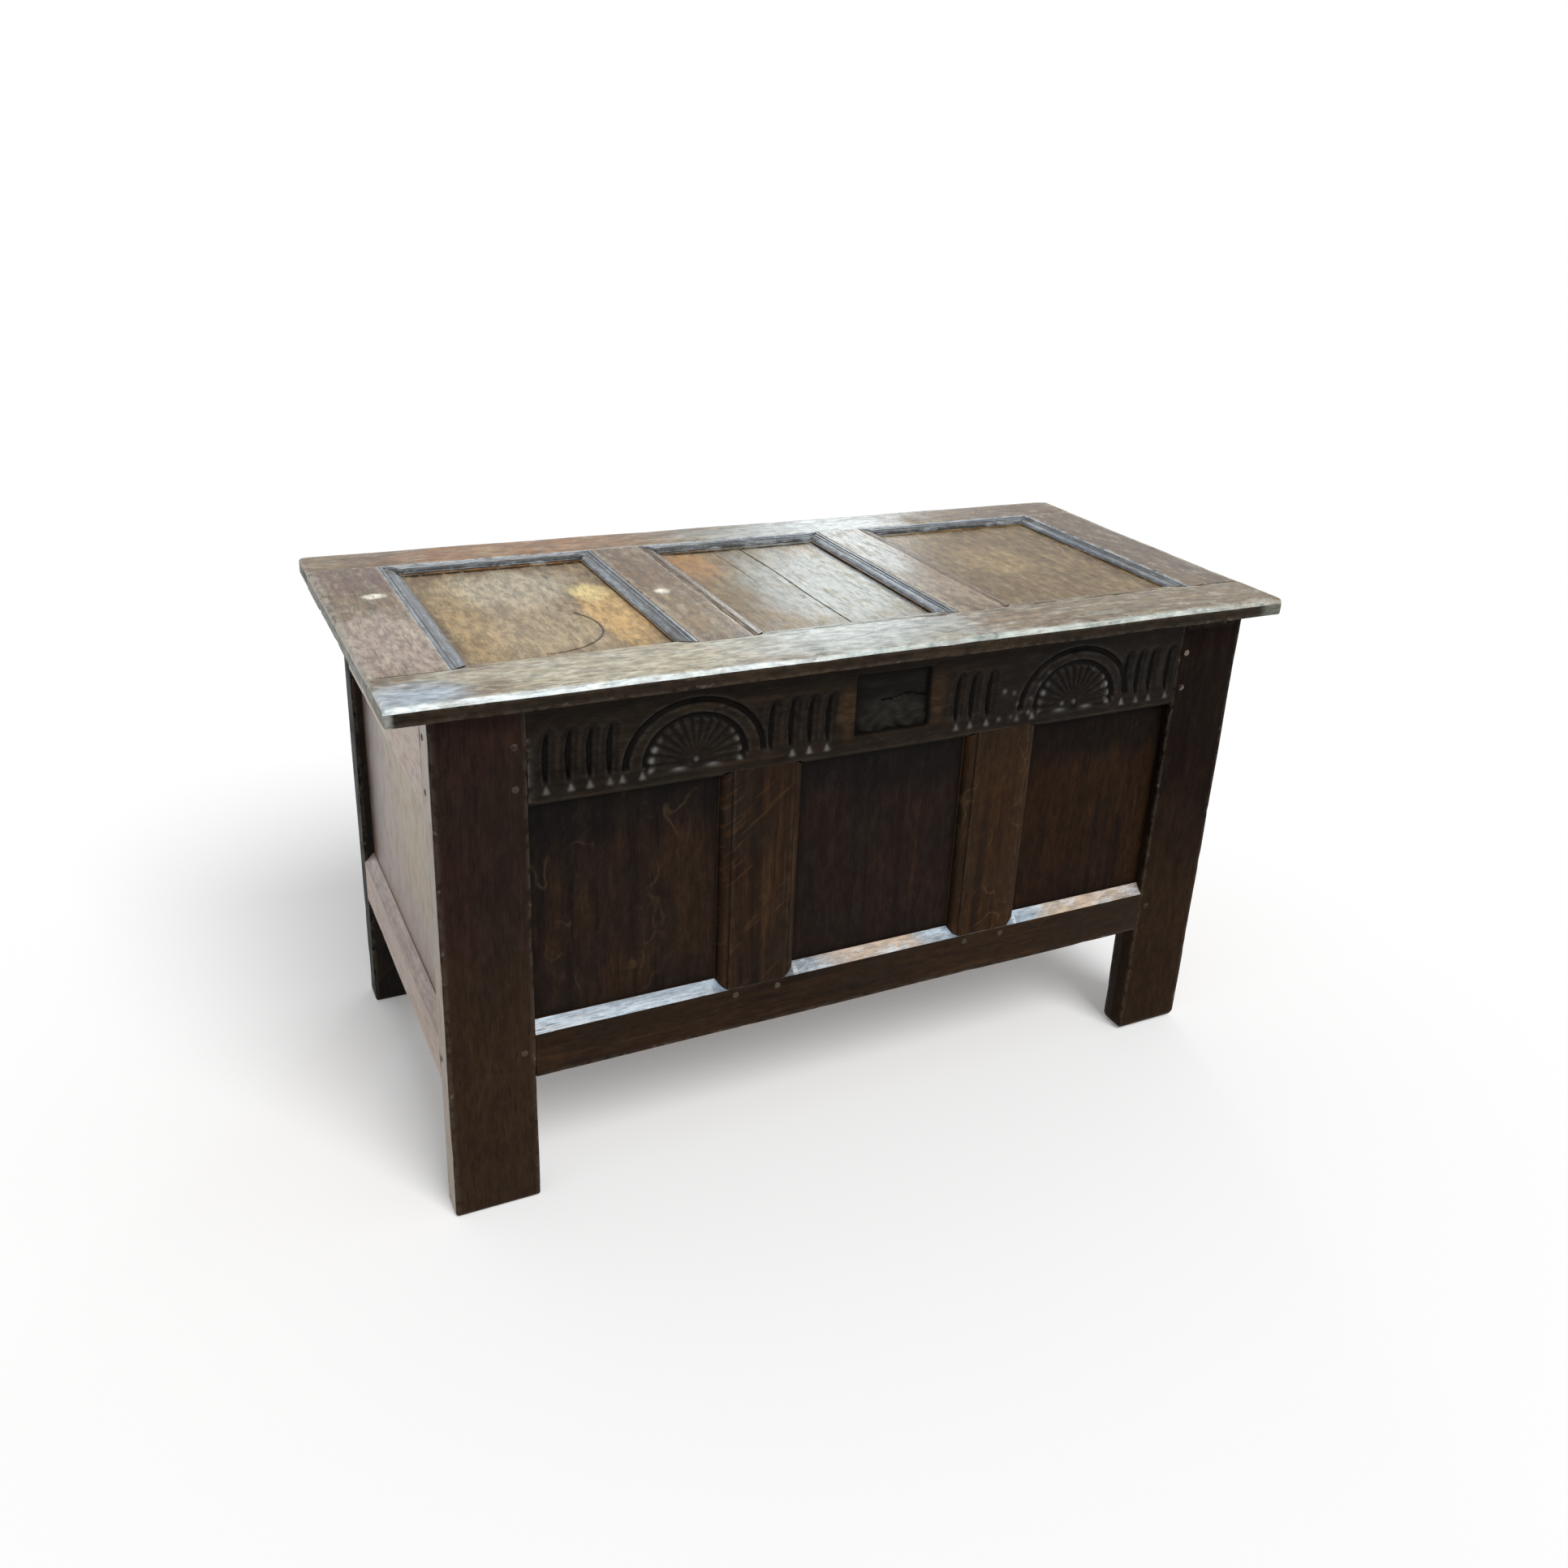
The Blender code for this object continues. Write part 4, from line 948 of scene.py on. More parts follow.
# The carved frieze: places along the front from its middle, heights above the floor
FRIEZE_STEP = 0.0012
FLUTE_GROUPS = (
    (-0.446, -0.419, -0.394, -0.370), (-0.164, -0.137, -0.111, -0.086), (0.102, 0.125, 0.151),
    (0.376, 0.398, 0.420, 0.450),
)
PLAIN_FLUTE = -0.164
FLUTE_LOW, FLUTE_HIGH = 0.580, 0.648
FLUTE_HOOK, HOOK_START, HOOK_SPAN = 0.005, 0.45, 0.55
HOLLOW_HALF, HOLLOW_DEEP, HOLLOW_FOOT = 0.0112, 0.0018, 0.2
HEAD_START, HEAD_SPAN = 0.8, 0.2
CORE_HALF, CORE_DEEP = 0.0038, 0.0054
CORE_FOOT, CORE_TOP, CORE_HEAD = 0.35, 0.93, 0.3
TINY = 1e-6
NOTCH_FOOT, NOTCH_HIGH = 0.5680, 0.5775
NOTCH_HALF, NOTCH_DEEP = 0.0048, 0.0032
NOTCH_TAPER = (0.2, 1.2)
NOTCH_STEP, NOTCH_STRAY = 0.002, (-1.0, 1.5)
CHIP_GAIN = 1.5
FLUTE_CHIPS, NICK_CHIPS, ARCH_CHIPS, PETAL_CHIPS = (0.55, 1.0), (0.35, 0.75), (0.5, 0.8), (0.35, 1.3)
NICK_R, NICK_DEEP = 0.0045, 0.0016
NICK_EDGE, NICK_SPAN = 1.4, 0.7
NICKS = (
    (0.171, 0.574), (0.190, 0.575), (0.218, 0.578), (0.220, 0.598), (0.233, 0.616), (0.192, 0.609),
    (0.176, 0.613), (0.247, 0.630), (0.321, 0.627), (0.339, 0.600), (0.346, 0.581), (0.273, 0.583),
    (0.200, 0.592),
)
LUNETTES = (-0.262, 0.292)
LUNETTE_BASE = 0.5825
ARCH_OUTER = (0.0885, 0.0770)
ARCH_INNER = (0.0640, 0.0575)
ARCH_HALF, ARCH_DEEP = 0.0040, 0.0048
PETALS = 13
PETAL_DEEP, PETAL_LEAST = 0.0034, 0.0008
PETAL_TIP, TIP_SWELL, TIP_SPAN = 0.86, 0.09, 0.05
PETAL_ROOT, ROOT_SHARE = 0.35, 0.2
FLANK_START, FLANK_SPAN, FLANK_GAIN = 0.60, 0.2, 5.0
FAN_DROP, FAN_SUNK = 0.0085, 0.0042
BASE_HALF, BASE_DEEP, BASE_END = 0.0030, 0.0026, 0.9
STREAK_X, STREAK_HALF, STREAK_CHIPS = 0.022, 0.009, 0.8
BEAD_R, BEAD_RISE, BEAD_DEEP = 0.0062, 0.001, 0.0035
BEAD_EDGE, BEAD_SPAN, BEAD_CHIPS = 1.3, 0.6, 0.55
TOOL_WAVE, TOOL_WAVES, TOOL_SWAY = 0.0002, (310, 240), 2
TOOL_ROUGH, TOOLED_FROM = 0.00012, 0.0004
RIDGE_BLUR, RIDGE_FULL, RIDGE_WEAR = 4, 0.0022, 0.5
# Carved hollows darkened with their depth: dirt and painted shade
HOLLOW_DIRT_AND_SHADE_FULL, HOLLOW_DIRT_AND_SHADE = 0.0042, 0.9
LEFT_RUB, LEFT_RUB_TOP = 0.003, 0.640
LOCK_WALL, LOCK_RIM, LOCK_DEEP = 0.0022, 0.008, 0.0075
LOCK_CLEAR = 0.01
LOCK_DUST = ((0.006, FRONT_Y, 0.602), (0.070, 0.04, 0.032), (42, 39, 34), 0.7)
WORN_BLOCKS = [((x, FRONT_Y, 0.618), (0.016, 0.04, 0.045), (56, 40, 25), 0.8) for x in (-0.0595, 0.072)]
DIM_END = ((0.42, FRONT_Y, 0.62), (0.42, FAR, FAR), (21, 16, 13), 0.6)


def share_of(values):
    return np.clip(values, 0.0, 1.0)


def gouge(distance, half, deep):
    """The depth of a round-bottomed cut at a distance from its middle line."""
    return deep * np.sqrt(np.clip(1.0 - (distance / half) ** 2, 0.0, None))


def notch(x, z, centre):
    """A chip-cut triangle: deepest at its point, and pale where the chisel broke the surface."""
    rise = (z - NOTCH_FOOT) / (NOTCH_HIGH - NOTCH_FOOT)
    half = NOTCH_HALF * np.clip(NOTCH_TAPER[1] - rise, *NOTCH_TAPER)
    wedge = share_of(1.0 - np.abs(x - centre) / half)
    wedge *= (rise > 0.0) & (rise < 1.0)
    return NOTCH_DEEP * wedge * share_of(rise), share_of(wedge * CHIP_GAIN)


def flute_cuts(x, z, draw):
    """Shallow round-headed hollows, each with a deep cut down its middle and a notch at its foot."""
    depth, chips = np.zeros_like(x), np.zeros_like(x)
    rise = (z - FLUTE_LOW) / (FLUTE_HIGH - FLUTE_LOW)
    inside = (rise > 0.0) & (rise < 1.0)
    rise = share_of(rise)
    hook = FLUTE_HOOK * np.clip((rise - HOOK_START) / HOOK_SPAN, 0.0, None) ** 2
    half = HOLLOW_HALF * np.sqrt(np.clip(1.0 - share_of((rise - HEAD_START) / HEAD_SPAN) ** 2, TINY, None))
    taper = np.sqrt(share_of(rise / CORE_FOOT) * share_of((CORE_TOP - rise) / CORE_HEAD))
    for centre in [place for group in FLUTE_GROUPS for place in group]:
        away = np.abs(x - (centre + hook))
        hollow = gouge(away, half, HOLLOW_DEEP) * share_of(rise / HOLLOW_FOOT) * inside
        core = gouge(away, CORE_HALF * taper + TINY, CORE_DEEP) * inside
        cut, mark = notch(x, z, centre + NOTCH_STEP * draw.uniform(*NOTCH_STRAY))
        if centre == PLAIN_FLUTE:
            cut, mark = 0.0, 0.0
        depth = np.maximum(depth, np.maximum(np.maximum(hollow, core), cut))
        chips = np.maximum(chips, mark * draw.uniform(*FLUTE_CHIPS))
    for place_x, place_z in NICKS:
        away = np.hypot(x - place_x, z - place_z)
        depth = np.maximum(depth, gouge(away, NICK_R, NICK_DEEP))
        mark = share_of(NICK_EDGE - away / (NICK_R * NICK_SPAN))
        chips = np.maximum(chips, mark * draw.uniform(*NICK_CHIPS))
    return depth, chips


def lunette_cuts(x, z, centre, draw):
    """Two arched grooves round a fan of petals that springs from a bead."""
    dx, dz = x - centre, z - LUNETTE_BASE
    depth, chips = np.zeros_like(x), np.zeros_like(x)
    for radius_x, radius_z in (ARCH_OUTER, ARCH_INNER):
        ring = np.hypot(dx / radius_x, dz / radius_z)
        away = np.abs(ring - 1.0) * (radius_x + radius_z) / 2
        depth = np.maximum(depth, gouge(away, ARCH_HALF, ARCH_DEEP) * (dz > 0.0))
        cut, mark = notch(x, z, centre - radius_x - 2 * NOTCH_STEP)
        depth, chips = np.maximum(depth, cut), np.maximum(chips, mark * draw.uniform(*ARCH_CHIPS))

    fan = (ring < 1.0) & (dz > -FAN_DROP)
    phase = np.arctan2(dz, dx) / math.pi * PETALS
    swell = np.abs(np.sin(math.pi * phase))
    tip = PETAL_TIP + TIP_SWELL * np.sqrt(swell)
    petal = PETAL_DEEP * (1.0 - np.sqrt(swell)) * np.clip(ring / PETAL_ROOT, ROOT_SHARE, 1.0) + PETAL_LEAST
    sunk = share_of((ring - tip) / TIP_SPAN)
    depth = np.where(fan, np.maximum(depth, petal + (FAN_SUNK - petal) * sunk), depth)
    flank = np.clip(np.abs(dx) / ARCH_INNER[0] - FLANK_START, 0.0, FLANK_SPAN) * FLANK_GAIN
    number = np.floor(phase).astype(int) % (2 * PETALS)
    worn_tip = draw.uniform(*PETAL_CHIPS, 2 * PETALS)[number]
    near_tip = np.exp(-((ring - tip + TIP_SPAN) / TIP_SPAN) ** 2)
    chips = np.maximum(chips, fan * near_tip * swell ** 2 * flank * worn_tip)

    base = share_of(1.0 - np.abs(dz + FAN_DROP) / BASE_HALF) * (np.abs(dx) < ARCH_INNER[0] * BASE_END)
    depth = np.maximum(depth, BASE_DEEP * base)
    streak = np.exp(-((np.abs(dx) - STREAK_X) / STREAK_HALF) ** 2)
    chips = np.maximum(chips, share_of(base * CHIP_GAIN) * streak * STREAK_CHIPS)
    bead = np.hypot(dx, dz - BEAD_RISE)
    depth = np.where(bead < BEAD_R, BEAD_DEEP * (bead / BEAD_R) ** 2, depth)
    return depth, np.maximum(chips, BEAD_CHIPS * share_of(BEAD_EDGE - bead / (BEAD_R * BEAD_SPAN)))


def blurred(values, reach):
    """A box blur, to tell ridges from hollows."""
    for axis in (0, 1):
        total = np.zeros_like(values)
        for shift in range(-reach, reach + 1):
            total += np.roll(values, shift, axis=axis)
        values = total / (2 * reach + 1)
    return values


def frieze():
    """The top rail: a moulded lower edge, a carved face and a recess for the lock's patch."""
    node = "front_top_rail"
    end = STILE_IN - FIT
    along = stations(-end, end, FRIEZE_STEP, MUNTIN_BREAKS)
    rows = moulded(HIGH_SIGHT, HIGH_EDGE, MOULD_ROWS, MOULD_DEPTH, RAIL_T)[::-1]
    edge_z, edge_depth = np.array([row[:2] for row in rows]).T
    up = np.linspace(HIGH_EDGE, BODY_H, int((BODY_H - HIGH_EDGE) / FRIEZE_STEP))[1:]
    grid_x, grid_z = np.meshgrid(along, up, indexing="ij")
    draw = np.random.default_rng(FRIEZE_SEED)
    depth, chips = flute_cuts(grid_x, grid_z, draw)
    for centre in LUNETTES:
        cut, marks = lunette_cuts(grid_x, grid_z, centre, draw)
        depth, chips = np.maximum(depth, cut), np.maximum(chips, marks)
    box_low, box_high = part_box("lock_patch")
    inset = np.minimum(np.minimum(grid_x - box_low.x, box_high.x - grid_x),
                       np.minimum(grid_z - box_low.z, box_high.z - grid_z))
    recess = share_of(inset / LOCK_WALL + 0.5)
    depth = np.maximum(depth, LOCK_DEEP * recess)
    chips = blurred(chips * (recess < LOCK_CLEAR), 1)

    hand = TOOL_WAVE * np.sin(grid_x * TOOL_WAVES[0] + TOOL_SWAY * np.sin(grid_z * TOOL_WAVES[1]))
    hand += TOOL_ROUGH * draw.standard_normal(depth.shape)
    eased = blurred(depth + hand * (depth > TOOLED_FROM), 1)
    past = np.clip(grid_z - (BODY_H - SOFT_ARRIS), 0.0, None)
    top_round = SOFT_ARRIS - np.sqrt(np.clip(SOFT_ARRIS ** 2 - past ** 2, 0, None))
    eased = np.where(past > 0.0, top_round, eased)
    ridge = share_of((blurred(eased, RIDGE_BLUR) - eased) / RIDGE_FULL) * (np.abs(inset) > LOCK_RIM)

    edge_up = HIGH_EDGE - (1.0 - muntin_share(along)[:, None]) * (HIGH_EDGE - edge_z[None])
    edge = front(along[:, None], edge_up, edge_depth[None])
    back = front(along[:, None], np.full((1, 1), BODY_H), np.full((1, 1), RAIL_T))
    rings = np.concatenate((edge, front(grid_x, grid_z, eased), back), axis=1)
    left_end = np.exp(-(along - along[0]) / LEFT_RUB)[:, None] * (grid_z < LEFT_RUB_TOP)
    # Dirt and painted shade in the carved hollows, except where chipped bare
    hollow = share_of(eased / HOLLOW_DIRT_AND_SHADE_FULL) * (1.0 - share_of(chips * CHIP_GAIN)) * HOLLOW_DIRT_AND_SHADE
    marks = {"wear": np.maximum(RIDGE_WEAR * ridge, left_end), "bare": chips, "grime": hollow}
    marks = {key: np.pad(values, ((0, 0), (len(rows), 1))) for key, values in marks.items()}
    slots = [INNER] + [POLISHED] * (len(rows) - 1) + [OUTER] * len(up) + [INNER]
    patches = (*WORN_BLOCKS, DIM_END)
    materials = member_materials(node, (X, Y), FRIEZE_SEED, FRIEZE_LOOK, FRIEZE_MOULD_HIGHLIGHT_LOOK, patches)
    loft(node, rings, materials, slots, marks, kind="carving")


LOCK_GRID = (70, 54)
LUMP, LUMP_LEAST, LUMP_TOP, LUMP_FADE = 0.0016, 0.0007, 0.62, 3.0
LUMPS_ALONG, LUMPS_UP = (23, 1.2, 13), (19, 1.1, 11)
CRACK_HEIGHT, CRACK_SWAY, CRACK_WAVES, CRACK_FROM = 0.56, 0.03, 11, 0.34
CRACK_HALF, CRACK_DEEP = 0.0018, 0.0026
LOCK_EDGE_WEAR, LOCK_EDGE_REACH = 0.0020, 0.06


def lock_patch():
    """The rough board let in where the lock was, lumpy in its lower half and split on the right."""
    node = "lock_patch"
    box_low, box_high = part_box(node)
    high_z = box_high.z - box_low.z

    def waves(a, b, numbers):
        count, sway, sways = numbers
        return np.sin(a * count + sway * np.sin(b * sways))

    def carve(x, z):
        u = (x - box_low.x) / (box_high.x - box_low.x)
        v = (z - box_low.z) / high_z
        lumps = LUMP * waves(u, v, LUMPS_ALONG) * waves(v, u, LUMPS_UP) * share_of((LUMP_TOP - v) * LUMP_FADE)
        crack_line = CRACK_HEIGHT + CRACK_SWAY * np.sin(u * CRACK_WAVES)
        crack = gouge(np.abs(v - crack_line) * high_z, CRACK_HALF, CRACK_DEEP) * (u > CRACK_FROM)
        edge = np.minimum(np.minimum(u, 1 - u), np.minimum(v, 1 - v))
        worn = LOCK_EDGE_WEAR * np.exp(-(edge / LOCK_EDGE_REACH) ** 2)
        return np.clip(lumps + LUMP_LEAST + worn, 0.0, None) + crack

    along = np.linspace(box_low.x, box_high.x, LOCK_GRID[0])
    up = np.linspace(box_low.z, box_high.z, LOCK_GRID[1])
    depths = (box_low.y - FRONT_Y, LOCK_DEEP + FIT)
    materials = member_materials(node, (X, Y), LOCK_SEED, LOCK_LOOK, patches=(LOCK_DUST,))
    panel(node, front, along, up, depths, LOCK_SEED, materials, carve, groove=LOCK_GROOVE)


# The lid
LID_STILE_SIGHT = low("lid_right_stile", X)
LID_STILE_FACE = LID_STILE_SIGHT + LID_MOULD_W
LID_LOW_FACE = LID_LOW_SIGHT - LID_MOULD_W
LID_HIGH_FACE = LID_HIGH_SIGHT + LID_MOULD_W
LID_OPENINGS = openings(LID_STILE_SIGHT, LID_MUNTINS, LID_SPREAD)
# How much of a rail's moulding is left where an upright meets it: next to nothing, but its mesh stays closed
SHUT_SHARE = 0.01
# The back rail's underside is planed back a little, so that the hinge leaves let into it show
LEAF_BARED = 0.0009
CORNER_STEPS = (1.0, 0.7, 0.45, 0.28, 0.15, 0.06)
PATCH_THICK = 0.2
# The lid's sheen, painted into its colour as a pale bluish grey
PAINTED_SHEEN = (188, 199, 197)
WHITE_SPOT = (236, 230, 214)
# Painted shadow along the foot of a moulding: at the back of the panels, beside the right muntin,
# and on the back rail
PANEL_FOOT_SHADOW, FOOT_SHADOW_REACH = (18, 17, 18), 0.011
RIGHT_FOOT_SHADOW_X, RIGHT_FOOT_SHADOW_REACH = LID_OPENINGS[1][1], 0.012
BACK_MOULDING_SHADOW = ((0.0, LID_HIGH_SIGHT, LID_TOP), (FAR, 0.016, FAR), (20, 19, 21), 1.0)
# Sun-bleached, stained and rubbed places on the lid, with painted sheen, a painted reflection, painted
# highlights and painted shadow: x, y, reach along x and y, colour, strength
LID_PATCHES = {
    "lid_front_rail": (
        (-0.320, -0.240, 0.28, 0.10, (216, 210, 186), 0.64),
        # A painted bluish reflection at the front rail's left end
        (-0.590, -0.275, 0.085, 0.05, (182, 200, 216), 0.80),
        (-0.030, -0.240, 0.20, 0.12, PAINTED_SHEEN, 0.65),
        (0.450, -0.240, 0.22, 0.10, (126, 110, 80), 0.60),
        # Painted highlights along the rounded nose of the front rail
        (-0.420, LID_FRONT, 0.55, 0.0058, (230, 241, 244), 1.00),
        (0.250, LID_FRONT, 0.50, 0.0055, (190, 203, 200), 0.80),
    ),
    "lid_back_rail": (
        (-0.330, 0.240, 0.22, 0.10, (146, 99, 52), 0.85),
        (0.120, 0.240, 0.24, 0.10, PAINTED_SHEEN, 0.68),
        (0.520, 0.240, 0.15, 0.10, (92, 68, 46), 0.60),
    ),
    "lid_left_stile": (
        (-0.565, 0.165, 0.10, 0.080, (104, 76, 66), 0.85),
        (-0.570, -0.110, 0.09, 0.15, (184, 166, 156), 0.65),
        (-0.560, 0.085, 0.019, 0.013, WHITE_SPOT, 1.00),
    ),
    "lid_left_muntin": (
        (-0.200, 0.090, 0.07, 0.11, (112, 82, 50), 0.75),
        (-0.200, -0.120, 0.07, 0.08, (150, 128, 92), 0.50),
        (-0.203, -0.004, 0.014, 0.016, WHITE_SPOT, 1.00),
    ),
    "lid_right_muntin": (
        (0.160, 0.100, 0.06, 0.20, PAINTED_SHEEN, 0.40),
        (0.200, -0.100, 0.06, 0.10, (140, 112, 80), 0.60),
    ),
    "lid_right_stile": ((0.570, 0.050, 0.10, 0.30, (86, 65, 43), 0.80),),
    "lid_left_panel": (
        (-0.385, 0.090, 0.12, 0.11, (204, 195, 172), 0.62),
        (-0.390, -0.080, 0.11, 0.17, (196, 178, 148), 0.55),
        (-0.470, -0.020, 0.04, 0.22, (184, 154, 104), 0.45),
        (-0.285, -0.050, 0.045, 0.16, (214, 173, 108), 0.85),
        (-0.290, 0.050, 0.034, 0.045, (238, 214, 146), 0.90),
        (-0.380, LID_HIGH_SIGHT, FAR, FOOT_SHADOW_REACH, PANEL_FOOT_SHADOW, 1.00),
    ),
    "lid_middle_panel": (
        (0.030, -0.020, 0.13, 0.26, PAINTED_SHEEN, 0.60),
        (-0.110, 0.130, 0.045, 0.09, (176, 126, 68), 0.80),
        (0.000, LID_HIGH_SIGHT, FAR, FOOT_SHADOW_REACH, PANEL_FOOT_SHADOW, 1.00),
        (RIGHT_FOOT_SHADOW_X, 0.0, RIGHT_FOOT_SHADOW_REACH, FAR, PANEL_FOOT_SHADOW, 1.00),
    ),
    "lid_right_panel": (
        (0.370, 0.000, 0.22, 0.30, (116, 93, 60), 0.64),
        (0.340, 0.020, 0.08, 0.09, (166, 140, 96), 0.50),
    ),
}
# The lid's left end and front right corner, painted pale: painted highlights where the edge catches the light
LID_EDGE_HIGHLIGHTS = (
    ((-LID_END, 0.0, LID_TOP), (0.012, FAR, FAR), (150, 152, 144), 0.85),
    ((LID_END, LID_FRONT, LID_TOP), (0.05, 0.03, FAR), (118, 122, 112), 0.80),
)
LID_MOULDED = (("moulding", LID_MOULD_REFLECTION_LOOK, (BACK_MOULDING_SHADOW,)),)
LID_EDGED = (*LID_MOULDED, ("edge", LID_EDGE_LOOK, LID_EDGE_HIGHLIGHTS))


def lid_materials(node, grain, seed, look, others=()):
    """Materials of the top and the underside, then of the mouldings and outer edges where there are any."""
    patches = [((x, y, LID_TOP), (reach_x, reach_y, PATCH_THICK), tint, strength)
               for x, y, reach_x, reach_y, tint, strength in LID_PATCHES[node]]
    kinds = (("oak", look, patches), ("under", BARE_LOOK, ()), *others)
    return [oak(f"{node}_{kind}", grain, Z, seed, other, rubbed) for kind, other, rubbed in kinds]


def lid_rails():
    """The rails of the lid, moulded at the openings; the back one is rounded at its right end."""
    breaks = [x for a, b in LID_OPENINGS for x in (a - LID_MOULD_W, a, b, b + LID_MOULD_W)]
    breaks += [LID_END - LID_CORNER_R * share for share in CORNER_STEPS]

    def open_share(along):
        share = np.full_like(along, SHUT_SHARE)
        for a, b in LID_OPENINGS:
            inside = np.minimum(along - (a - LID_MOULD_W), (b + LID_MOULD_W) - along) / LID_MOULD_W
            share = np.maximum(share, share_of(inside))
        return share

    def drawn_back(along, width, face, sign):
        over = np.clip(sign * (width - face), 0.0, None)
        return np.where(over > 0.0, face + sign * over * open_share(along), width)

    def front_edge(along, width):
        return drawn_back(along, width, LID_LOW_FACE, 1)

    def back_edge(along, width):
        past = np.clip(along - (LID_END - LID_CORNER_R), 0.0, LID_CORNER_R)
        limit = LID_BACK - LID_CORNER_R + np.sqrt(LID_CORNER_R ** 2 - past ** 2)
        return np.minimum(drawn_back(along, width, LID_HIGH_FACE, -1), limit)

    def rail(node, seed, look, outer, nose, thick, edge, morph):
        corners = [(outer, thick, ARRIS, EDGE), (outer, 0.0, nose, OUTER), *edge]
        materials = lid_materials(node, X, seed, look, LID_EDGED)
        rounds = (LID_END_ROUND, LID_END_ROUND)
        sweep(node, corners, lid, -LID_END, LID_END, seed, materials, extra=breaks, wear=LID_WEAR,
              morph=morph, rounds=rounds, cap=EDGE)

    edge = lid_moulded(LID_LOW_SIGHT, LID_LOW_FACE, LID_T, OUTER)
    rail("lid_front_rail", LID_RAIL_SEED, NOSE_WEAR_AND_HIGHLIGHT_LOOK, LID_FRONT, LID_NOSE, LID_T, edge, front_edge)
    bared = LID_T - LEAF_BARED
    edge = lid_moulded(LID_HIGH_SIGHT, LID_HIGH_FACE, bared)
    rail("lid_back_rail", LID_RAIL_SEED + 1, LID_LOOK, LID_BACK, ARRIS, bared, edge, back_edge)


def lid_uprights():
    start, end = LID_LOW_FACE + FIT, LID_HIGH_FACE - FIT

    def mitre(*inner_faces):
        def ends(width):
            over = np.zeros_like(width)
            for face, sign in inner_faces:
                over = np.maximum(over, np.clip(sign * (width - face), 0.0, LID_MOULD_W))
            return over, over
        return ends

    for number, (side, sign) in enumerate((("left", -1), ("right", 1))):
        node, seed = f"lid_{side}_stile", LID_STILE_SEED + number
        sight, face = sign * LID_STILE_SIGHT, sign * LID_STILE_FACE
        corners = [(sign * LID_END, LID_T, ARRIS, EDGE), (sign * LID_END, 0.0, LID_NOSE, OUTER)]
        corners += [*lid_moulded(sight, face), (face, LID_T, 0.0, INNER)]
        materials = lid_materials(node, Y, seed, LID_LOOK, LID_EDGED)
        sweep(node, corners, turned(lid), start, end, seed, materials, wear=LID_WEAR,
              ends=mitre((face, -sign)))
    for number, (side, x) in enumerate(zip(("left", "right"), LID_MUNTINS)):
        node, seed = f"lid_{side}_muntin", LID_MUNTIN_SEED + number
        near = lid_moulded(x - LID_SPREAD, x - LID_FACE)[::-1]
        near[-1] = (*near[-1][:3], OUTER)
        far = lid_moulded(x + LID_SPREAD, x + LID_FACE, LID_T, OUTER)
        under = [(x + sign * LID_FACE, LID_T, 0.0, INNER) for sign in (1, -1)]
        materials = lid_materials(node, Y, seed, LID_LOOK, LID_MOULDED)
        sweep(node, [*near, *far, *under], turned(lid), start, end, seed, materials,
              ends=mitre((x - LID_FACE, -1), (x + LID_FACE, 1)))


SPLIT_X, SPLIT_SWAY, SPLIT_WAVES = -0.007, 0.0012, 21
SPLIT_HALF, SPLIT_DEEP = 0.0011, 0.0030
FAINT_X, FAINT_HALF, FAINT_DEEP, FAINT_FROM = -0.052, 0.8, 0.0008, 0.02
SPLIT_GRID, SPLIT_ROWS, SPLIT_STEP = 0.0004, range(-7, 8), 0.004
ARC_CENTRE, ARC_R = (-0.402, -0.080), 0.085
ARC_TURN = (math.radians(-95.0), math.radians(40.0))
ARC_HALF, ARC_DEEP = 0.0019, 0.0011
ARC_GRID, ARC_LEFT, ARC_TOP = 0.001, -0.01, 0.05


def lid_panels():
    """The lid's panels: an arc scribed on the left one, splits along the middle one."""
    def split(x, y):
        line = SPLIT_X + SPLIT_SWAY * np.sin(y * SPLIT_WAVES)
        main = gouge(np.abs(x - line), SPLIT_HALF, SPLIT_DEEP)
        faint = gouge(np.abs(x - FAINT_X), SPLIT_HALF * FAINT_HALF, FAINT_DEEP) * (y > FAINT_FROM)
        return np.maximum(main, faint)

    def scribed(x, y):
        away_x, away_y = x - ARC_CENTRE[0], y - ARC_CENTRE[1]
        turn = np.arctan2(away_y, away_x)
        drawn = (turn > ARC_TURN[0]) & (turn < ARC_TURN[1])
        return gouge(np.abs(np.hypot(away_x, away_y) - ARC_R), ARC_HALF, ARC_DEEP) * drawn

    def closer(places, more):
        return np.unique(np.concatenate((places, more)))

    for number, side in enumerate(("left", "middle", "right")):
        node, seed = f"lid_{side}_panel", LID_PANEL_SEED + number
        along = field(*LID_OPENINGS[number])
        up = field(LID_LOW_SIGHT, LID_HIGH_SIGHT, SPLIT_STEP if side == "middle" else PANEL_STEP)
        carve = None
        if side == "middle":
            along = closer(along, [x + row * SPLIT_GRID for x in (SPLIT_X, FAINT_X) for row in SPLIT_ROWS])
            carve = split
        if side == "left":
            reach = ARC_R + 2 * ARC_HALF
            along = closer(along, np.arange(ARC_LEFT, reach, ARC_GRID) + ARC_CENTRE[0])
            up = closer(up, np.arange(-reach, ARC_TOP, ARC_GRID) + ARC_CENTRE[1])
            carve = scribed
        materials = lid_materials(node, Y, seed, EVEN_PANEL_LOOK if side == "middle" else LID_PANEL_LOOK)
        panel(node, lid, along, up, LID_PANEL_DEPTHS, seed, materials, carve, LID_PANEL_DIRT_AND_SHADE)


